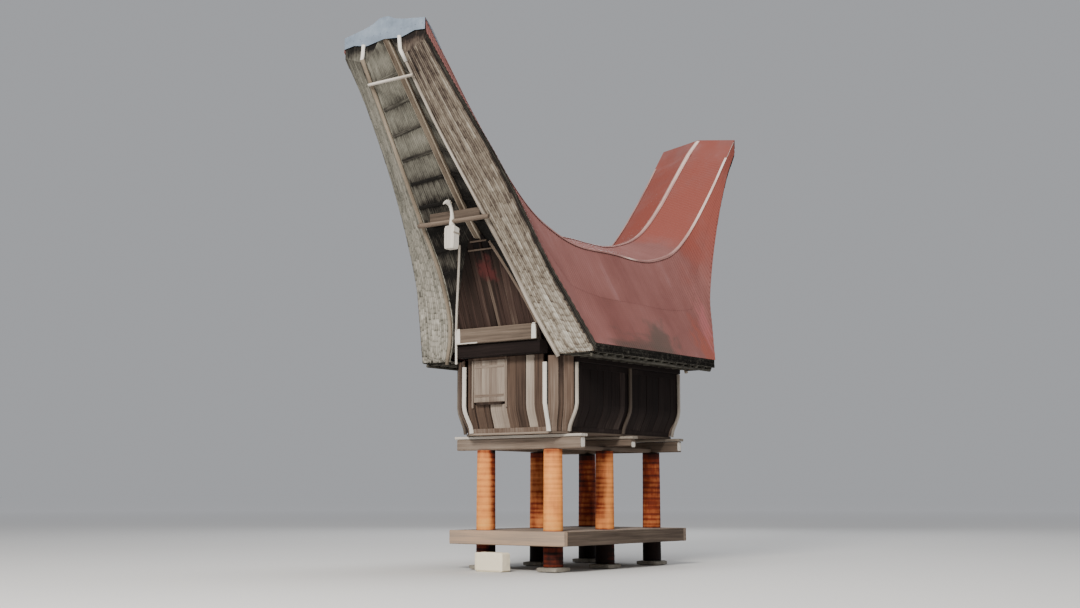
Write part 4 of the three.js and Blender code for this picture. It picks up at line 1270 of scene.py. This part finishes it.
def hatch():
    """Four boards held by two battens."""
    shapes = []
    for k, (left, right, tone) in enumerate(HATCH_BOARDS):
        middle = (left + right) / 2
        path = straight((middle, FRONT_Y + 0.006, 3.084), (middle, FRONT_Y + 0.006, 3.856), 3)
        shapes.append(bar(path, squared(right - left - 0.004, 0.03, 0.003), (1, 0, 0), tone, k + 20))
    for z in (3.20, 3.74):
        path = straight((-0.70, FRONT_Y - 0.011, z), (-0.01, FRONT_Y - 0.011, z), 3)
        shapes.append(bar(path, squared(0.05, 0.010, 0.003), (0, 0, 1), 0.10, z))
    return shapes


uprights = [wall_piece(0, place, 0.035, 2.98, 3.86, 0.03, 0.020, 0.10, place) for place in (-0.755, 0.045)]
lay("front_wall_boards", front_wall() + [hatch_ledge()], wall_wood, ["front_wall"])
lay("hatch_uprights", uprights, wall_wood)
lay("hatch_boards", hatch(), wall_wood, ["hatch_door"])

# %% [markdown]
# The other walls show no single board that stands out, so typing in each one would be wasted work.
# Their boards get uneven widths and tones by chance, with fixed seeds, so that each run is the same.
# The feet of the side boards are paler, as they are in the photograph.

# %% Board the other walls
def boarded(wall, top, count, tone, seed, paler_foot=0.0):
    """A wall of upright boards of uneven width, with its backing and its foot board."""
    luck = np.random.default_rng(seed)
    width = wall_width(wall) - 0.10
    cuts = np.sort(np.linspace(0, 1, count + 1)[1:-1] + luck.uniform(-0.16, 0.16, count - 1) / count)
    cuts = np.concatenate([[0], cuts, [1]]) * width - width / 2
    boards = []
    for k, (left, right) in enumerate(zip(cuts[:-1], cuts[1:])):
        boards.append(wall_piece(wall, (left + right) / 2, right - left - 0.007, WALL_FOOT + 0.03, top,
                                 0.028, -0.010 - 0.004 * (k % 2), tone + luck.normal(0, 0.07), seed + k,
                                 paler_foot=paler_foot))
    backing = wall_piece(wall, 0.0, width - 0.03, WALL_FOOT + 0.02, top - 0.01, 0.006, -0.032, -0.45,
                         seed + 0.5)
    foot_board = wall_piece(wall, 0.0, wall_width(wall, 2.53) - 0.10, WALL_FOOT, WALL_FOOT + 0.085,
                            0.045, 0.0, tone - 0.05 + paler_foot, seed)
    return boards + [backing, foot_board]


SIDE_WALLS = (("right", 2), ("left", 6))
lay("rear_wall_boards", boarded(4, FRONT_HEAD, 9, -0.06, 40), wall_wood, ["rear_wall"])
for side, wall in SIDE_WALLS:
    top_rail = wall_piece(wall, 0.0, wall_width(wall) - 0.2, 3.66, SIDE_HEAD, 0.045, 0.004, 0.0, wall)
    lay(f"{side}_wall_boards", boarded(wall, SIDE_HEAD, 15, 0.0, 50 + wall, paler_foot=0.24) + [top_rail],
        dark_shaded_wood, [f"{side}_wall"])

# %% [markdown]
# A slanting panel closes each corner. It is two wide boards with a dark strip set back between them.
# One plain board would be enough for the shape, but the dark groove is what one sees of it.

# %% Close the corners
PANEL_HEAD = 3.875
for name, wall in (("front_right", 1), ("rear_right", 3), ("rear_left", 5), ("front_left", 7)):
    width = wall_width(wall)
    aside, board = width / 4 + 0.02, width / 2 - 0.05
    pieces = ((-aside, board, WALL_FOOT, PANEL_HEAD, 0.032, -0.006, -0.10, wall),
              (aside, board, WALL_FOOT, PANEL_HEAD, 0.032, -0.010, -0.10, wall + 0.5),
              (0.0, 0.075, WALL_FOOT, PANEL_HEAD, 0.022, -0.014, -0.34, wall + 0.7))
    lay(f"corner_boards_{name}", [wall_piece(wall, *piece) for piece in pieces], wall_wood,
        [f"corner_panel_{name}"])

# %% [markdown]
# ## Pale ribs
# Curved uprights hold the boards at the corners and at the middle of each side. They are limewashed,
# and much of the light drawing of the walls in the photograph comes from them. They are the same bar
# on the same plan, proud of the boards.

# %% Set the pilasters and ribs
PILASTER_HEIGHTS = (WALL_FOOT, 2.56, 2.62, 2.68, 2.76, 2.84, 2.92, 3.02, 3.2, 3.4, 3.6, SIDE_HEAD)
PILASTER_SWELL = (1.0, 0.98, 0.95, 0.93, 0.92, 0.92, 0.93, 0.94, 0.95, 0.95, 0.96, 0.98)
SPLAYED = ("front", "right")
for end, wall in (("front", 0), ("rear", 4)):
    for side, turn in SIDES:
        splay = 0.07 if (end, side) == SPLAYED else 0.0
        places = [wall_width(wall, z) / 2 - 0.0525 + splay * np.interp(z, [2.55, TUCK_TOP], [1, 0])
                  for z in PILASTER_HEIGHTS]
        way = turn if end == "front" else -turn
        path, ways = wall_line(wall, PILASTER_HEIGHTS, way * np.array(places), 0.0245)
        shape = bar(path, squared(0.088, 0.046, 0.012), ways, 0.0, wall + turn, PILASTER_SWELL)
        lay(f"pilaster_{end}_{side}_post", [shape], limewash, [f"pilaster_{end}_{side}"])
for side, wall in SIDE_WALLS:
    reach = (wall_width(wall) / 2 - 0.053) * (1 if side == "right" else -1)
    # The ribs of the side walls are painted dark: painted shade under the eaves, darkest at the middle.
    tones = (-0.16 if side == "right" else -0.45, -0.53, -0.26)
    shapes = [wall_piece(wall, place * reach, 0.062, WALL_FOOT, SIDE_HEAD, 0.054, 0.049, tone, place, 0.012)
              for place, tone in zip((-1, 0, 1), tones)]
    lay(f"side_ribs_{side}", shapes, limewash)

# %% [markdown]
# ## Floor and plates of the granary
# The granary stands on a floor whose edge shows as a sill, on three cross beams with a plank on top of
# each. The beams are adzed, not planed. A bevelled cube looks machine made, so each beam wanders and
# swells by a few millimetres along its length.

# %% Lay the granary floor
FLOOR_Z = 2.4955


def granary_floor():
    """A sill along each side of the plan, and floor boards across the barn."""
    shapes = []
    corners = wall_corners(FLOOR_TOP)
    for k in range(8):
        start, end = corners[k], corners[(k + 1) % 8]
        way = unit(end - start)
        outward = np.array((way[1], -way[0]))
        start, end = start + outward * -0.03 - way * 0.012, end + outward * -0.03 + way * 0.012
        path = straight((*start, FLOOR_Z), (*end, FLOOR_Z), 6)
        shapes.append(bar(path, squared(0.100, 0.038), (*outward, 0), 0.12 if k in (0, 4) else -0.32, k))
    for k, y in enumerate(np.arange(-1.76, 1.78, 0.22)):
        reach = 1.14 if abs(y) < 1.6 else 0.98
        path = straight((-reach, y + MIDDLE, FLOOR_Z), (reach, y + MIDDLE, FLOOR_Z), 5)
        shapes.append(bar(path, squared(0.212, 0.032, 0.004), (0, 1, 0), -0.15, k + 9))
    return shapes


lay("granary_floor_boards", granary_floor(), grey_timber, ["granary_floor"])

# %% [markdown]
# Three cross beams lie on the posts, two side beams tie the rows together, and two plates carry the
# eaves. They could share one mesh, but then all would have the same knocks and streaks. Each is built
# anew, so no two are alike.

# %% Lay the beams on the posts
ROWS = (("front", -1), ("middle", 0), ("rear", 1))
POST_X = 0.785
POST_Y = 1.64
BEAM_TOP = 2.42


def level_beam(lies, place, z, reach, width, depth, tone, seed, edge=0.014, count=16):
    """A hand-cut beam that lies across the barn at a y, or along it at an x. depth is its height."""
    if lies == "across":
        start, end = (-reach, place, z), (reach, place, z)
    else:
        start, end = (place, MIDDLE - reach, z), (place, MIDDLE + reach, z)
    path = hewn(straight(start, end, count), 0.003, seed)
    return bar(path, squared(depth, width, edge), (0, 0, 1), tone, seed, uneven(count, 0.012, seed))


for row, along in ROWS:
    y = along * POST_Y + MIDDLE
    low = 2.2903 if along == 0 else 2.2073
    # The middle and rear cross beams and planks are painted darker, as shade under the granary.
    beam = level_beam("across", y, (low + BEAM_TOP) / 2, 1.448, 0.146, BEAM_TOP - low - 0.007,
                      -0.02 if along < 0 else -0.20, along)
    lay(f"cross_beam_{row}_timber", [beam], grey_timber, [f"cross_beam_{row}"])
    plank = level_beam("across", y, 2.448, 1.488, 0.186, 0.050, -0.06 if along < 0 else -0.30, along + 5,
                       edge=0.008)
    lay(f"cross_plank_{row}", [plank], limewash)
    cap_section = squared(0.165 if along else 0.10, 0.125, 0.02)
    caps = [bar([(across * 1.4475, y, 2.318), (across * 1.451, y, 2.318)], cap_section, (0, 0, 1), 0.0,
                across) for _, across in SIDES]
    lay(f"beam_ends_{row}", caps, limewash)
for side, across in SIDES:
    beam = level_beam("along", across * POST_X, 2.2487, POST_Y - 0.0753, 0.126, 0.079, -0.1, across)
    lay(f"side_beam_{side}_timber", [beam], grey_timber, [f"side_beam_{side}"])
    # The eave plates get the near-black finish as painted shade under the eaves.
    plate = level_beam("along", across * 1.36, 3.82, 1.75, 0.134, 0.116, 0.0, across + 3)
    lay(f"eave_plate_{side}_timber", [plate], dark_shaded_wood, [f"eave_plate_{side}"])

# %% [markdown]
# ## Palm posts
# The posts are trunks of a smooth palm. Rats can't climb them, which is why they are used. Their rings
# are old leaf scars. The rings could be left to the bump of the finish, but they show on the outline
# of a lit post, so the trunk swells a little at each one.

# %% Turn the posts
POSTS = [(f"{row}_{side}", along, across, across * POST_X, along * POST_Y + MIDDLE)
         for row, along in ROWS for side, across in SIDES]
POST_RADIUS = 0.172
# Painted light and shade on the posts: paler outer faces at the front, darker inner faces and rear row.
INNER_SHADE_TONES = {-1: -0.12, 0: -0.06, 1: -0.18}
OUTER_LIGHT_TONES = {-1: 0.25, 0: 0.15, 1: -0.17}


def post(x, y, seed):
    """A tapering trunk with leaf scars, a pale dusty band above the deck, and painted shade below the deck
    and at the top.
    """
    heights = np.linspace(0.0906, 2.2066, 110)
    path = hewn(stacked(x, y, heights), 0.004, seed)
    path[:, 2] = heights
    luck = np.random.default_rng(int(seed * 100))
    scars = np.cumsum(luck.uniform(0.075, 0.135, 24)) + 0.06
    away = np.min(np.abs(heights[:, None] - scars[None, :]), axis=1)
    taper = np.interp(heights, [0.09, 2.207], [0.185, POST_RADIUS]) / POST_RADIUS
    swell = taper * (0.985 + 0.010 * np.exp(-(away / 0.016) ** 2))
    # Painted shade below the deck and at the top, under the beams; the pale band just above the deck is
    # dust.
    worn = np.interp(heights, [0.09, 0.45, 0.50, 0.73, 0.76, 1.05, 1.98, 2.10, 2.2],
                     [-0.58, -0.54, -0.46, -0.20, 0.14, 0.03, 0.0, -0.10, -0.30])
    tone = worn - 0.13 * np.exp(-((away - 0.012) / 0.011) ** 2)
    return bar(path, round_section(POST_RADIUS, 28), (1, 0, 0), tone, seed, swell)


def painted_post_light(shape, x, y, across, along):
    """Painted light and shade: outer faces paler, as lit, inner faces dark red, as shaded; rear posts darker
    all round.
    """
    points, faces, grain, tones = shape
    out_x, out_y = (points[:, 0] - x) * across, (points[:, 1] - y) * along
    reach = np.maximum(out_x, out_y if along else out_x) / POST_RADIUS
    low, high = (0.05, 0.70) if along < 0 else (0.48, 0.86)
    share = np.clip((reach - low) / (high - low), 0, 1)
    share = share * share * (3 - 2 * share)
    return points, faces, grain, tones + INNER_SHADE_TONES[along] * (1 - share) + OUTER_LIGHT_TONES[along] * share


for name, along, across, x, y in POSTS:
    trunk = painted_post_light(post(x, y, 3 + along + 0.37 * across), x, y, across, along)
    lay(f"post_{name}_trunk", [trunk], palm, [f"post_{name}"], smooth=True)

# %% [markdown]
# ## Stones
# Flat stones keep the posts off the wet ground, and a block before the deck is the step. A cube with
# a bump looks like plastic at its edges. These start as a net round a block, and noise moves every
# point, so edges and corners are worn unevenly.

# %% Cut the stones
ROUGH = 0.012


def stone_block(low, high, seed, tone, steps=9):
    """The six faces of a block, each a net of points that wear and noise move inwards."""
    low, high = np.array(low, float), np.array(high, float)
    centre, half = (low + high) / 2, (high - low) / 2
    spread = np.linspace(-1, 1, steps)
    shapes = []
    for axis in range(3):
        a, b = [k for k in range(3) if k != axis]
        for end in (-1, 1):
            cube = np.full((steps, steps, 3), float(end))
            cube[..., a], cube[..., b] = np.meshgrid(spread, spread)
            points = centre + cube * half
            corner = np.sort(np.abs(cube), axis=-1)
            worn = np.clip((corner[..., 1] - 0.86) / 0.14, 0, 1) ** 2 * ROUGH
            for at in np.ndindex(steps, steps):
                shift = noise.noise(Vector(points[at]) * 4.3 + Vector((seed, 0, 0)))
                fine = noise.noise(Vector(points[at]) * 13.0 + Vector((0, seed, 0)))
                inward = worn[at] * (1.1 + 0.7 * shift) + ROUGH * (0.35 + 0.35 * fine)
                points[at] -= cube[at] * np.minimum(inward, half * 0.4)
            points[..., 2] = np.maximum(points[..., 2], low[2])
            shapes.append(net(points, points.copy(), tone, (end > 0) == (axis == 1)))
    return shapes


# The footings are painted darker, as shade under the deck, and the step paler, as lit.
for name, _, _, x, y in POSTS:
    block = stone_block((x - 0.235, y - 0.235, 0), (x + 0.235, y + 0.235, 0.0898), x + 2 * y, -0.22)
    lay(f"footing_{name}_stone", block, stone, [f"footing_{name}"])
step = stone_block((-0.5, -2.33 + MIDDLE, 0), (0.15, -2.06 + MIDDLE, 0.35), 4.2, 0.46, 13)
lay("step_block", step, stone, ["step_stone"])

# %% [markdown]
# ## The sitting deck
# Guests and workers sit on this deck. Its planks run the length of the barn, worn smooth and grey,
# between four deep edge beams. The planks are separate bars, cut short where a post comes through.

# %% Plank the deck
DECK_TOP = 0.727
DECK_REACH = 1.945
HOLE = 0.192
PLANK_EDGES = (-1.232, -1.02, -0.985, -0.585, -0.39, -0.19, 0.01, 0.21, 0.40, 0.585, 0.985, 1.02, 1.232)


def deck():
    """Planks with joists below them, all cut short at the posts."""
    shapes = []
    luck = np.random.default_rng(60)
    for k, (left, right) in enumerate(zip(PLANK_EDGES[:-1], PLANK_EDGES[1:])):
        middle, width = (left + right) / 2, right - left - 0.006
        stops = [-DECK_REACH, DECK_REACH]
        if abs(abs(middle) - POST_X) < 0.19:
            stops[1:1] = [y + way * HOLE for y in (-POST_Y, 0.0, POST_Y) for way in (-1, 1)]
        for start, stop in zip(stops[::2], stops[1::2]):
            path = straight((middle, start + MIDDLE, 0.7065), (middle, stop + MIDDLE, 0.7065), 8)
            shapes.append(bar(path, squared(width, 0.045), (1, 0, 0), luck.normal(0.06, 0.06), k + start))
    for _, along in ROWS:
        y = along * POST_Y + MIDDLE
        for left, right in ((-1.232, -0.96), (-0.61, 0.61), (0.96, 1.232)):
            shapes.append(bar(straight((left, y, 0.596), (right, y, 0.596), 4), squared(0.165, 0.118, 0.010),
                              (0, 0, 1), -0.2, along))
    return shapes


def collar(x, y):
    """Short boards that fill the deck round a post, from a circle out to a square."""
    angles = np.linspace(0, 2 * np.pi, 25)
    cosines, sines = np.cos(angles), np.sin(angles)
    square = np.minimum(0.20 / np.maximum(np.abs(cosines), 1e-6), 0.20 / np.maximum(np.abs(sines), 1e-6))
    rings = [stacked(x + reach * cosines, y + reach * sines, DECK_TOP) for reach in (0.188, square)]
    points = np.stack(rings)
    return net(points, points[..., [1, 0, 2]], turned=True)


collars = [collar(x, y) for _, _, _, x, y in POSTS]
lay("deck_planks", deck() + collars, grey_timber, ["deck_floor"])

# %% [markdown]
# Four deep edge beams frame the deck, level with its planks. Their worn edges catch the light, which
# one large box round the deck wouldn't do, so they are hewn beams like those on the posts.

# %% Frame the deck
# The front edge beam is painted paler, as lit, and the side beams darker, as shaded.
for end, along in ENDS:
    edge_beam = level_beam("across", along * 2.0 + MIDDLE, 0.5985, 1.333, 0.096, 0.254,
                           0.24 if along < 0 else 0.0, along, count=20)
    lay(f"deck_edge_{end}_timber", [edge_beam], grey_timber, [f"deck_edge_{end}"])
for side, across in SIDES:
    edge_beam = level_beam("along", across * 1.285, 0.5985, 1.948, 0.096, 0.250, -0.24, across + 6, count=26)
    lay(f"deck_edge_{side}_timber", [edge_beam], grey_timber, [f"deck_edge_{side}"])

# %% Measure the bounds of the barn
low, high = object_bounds()
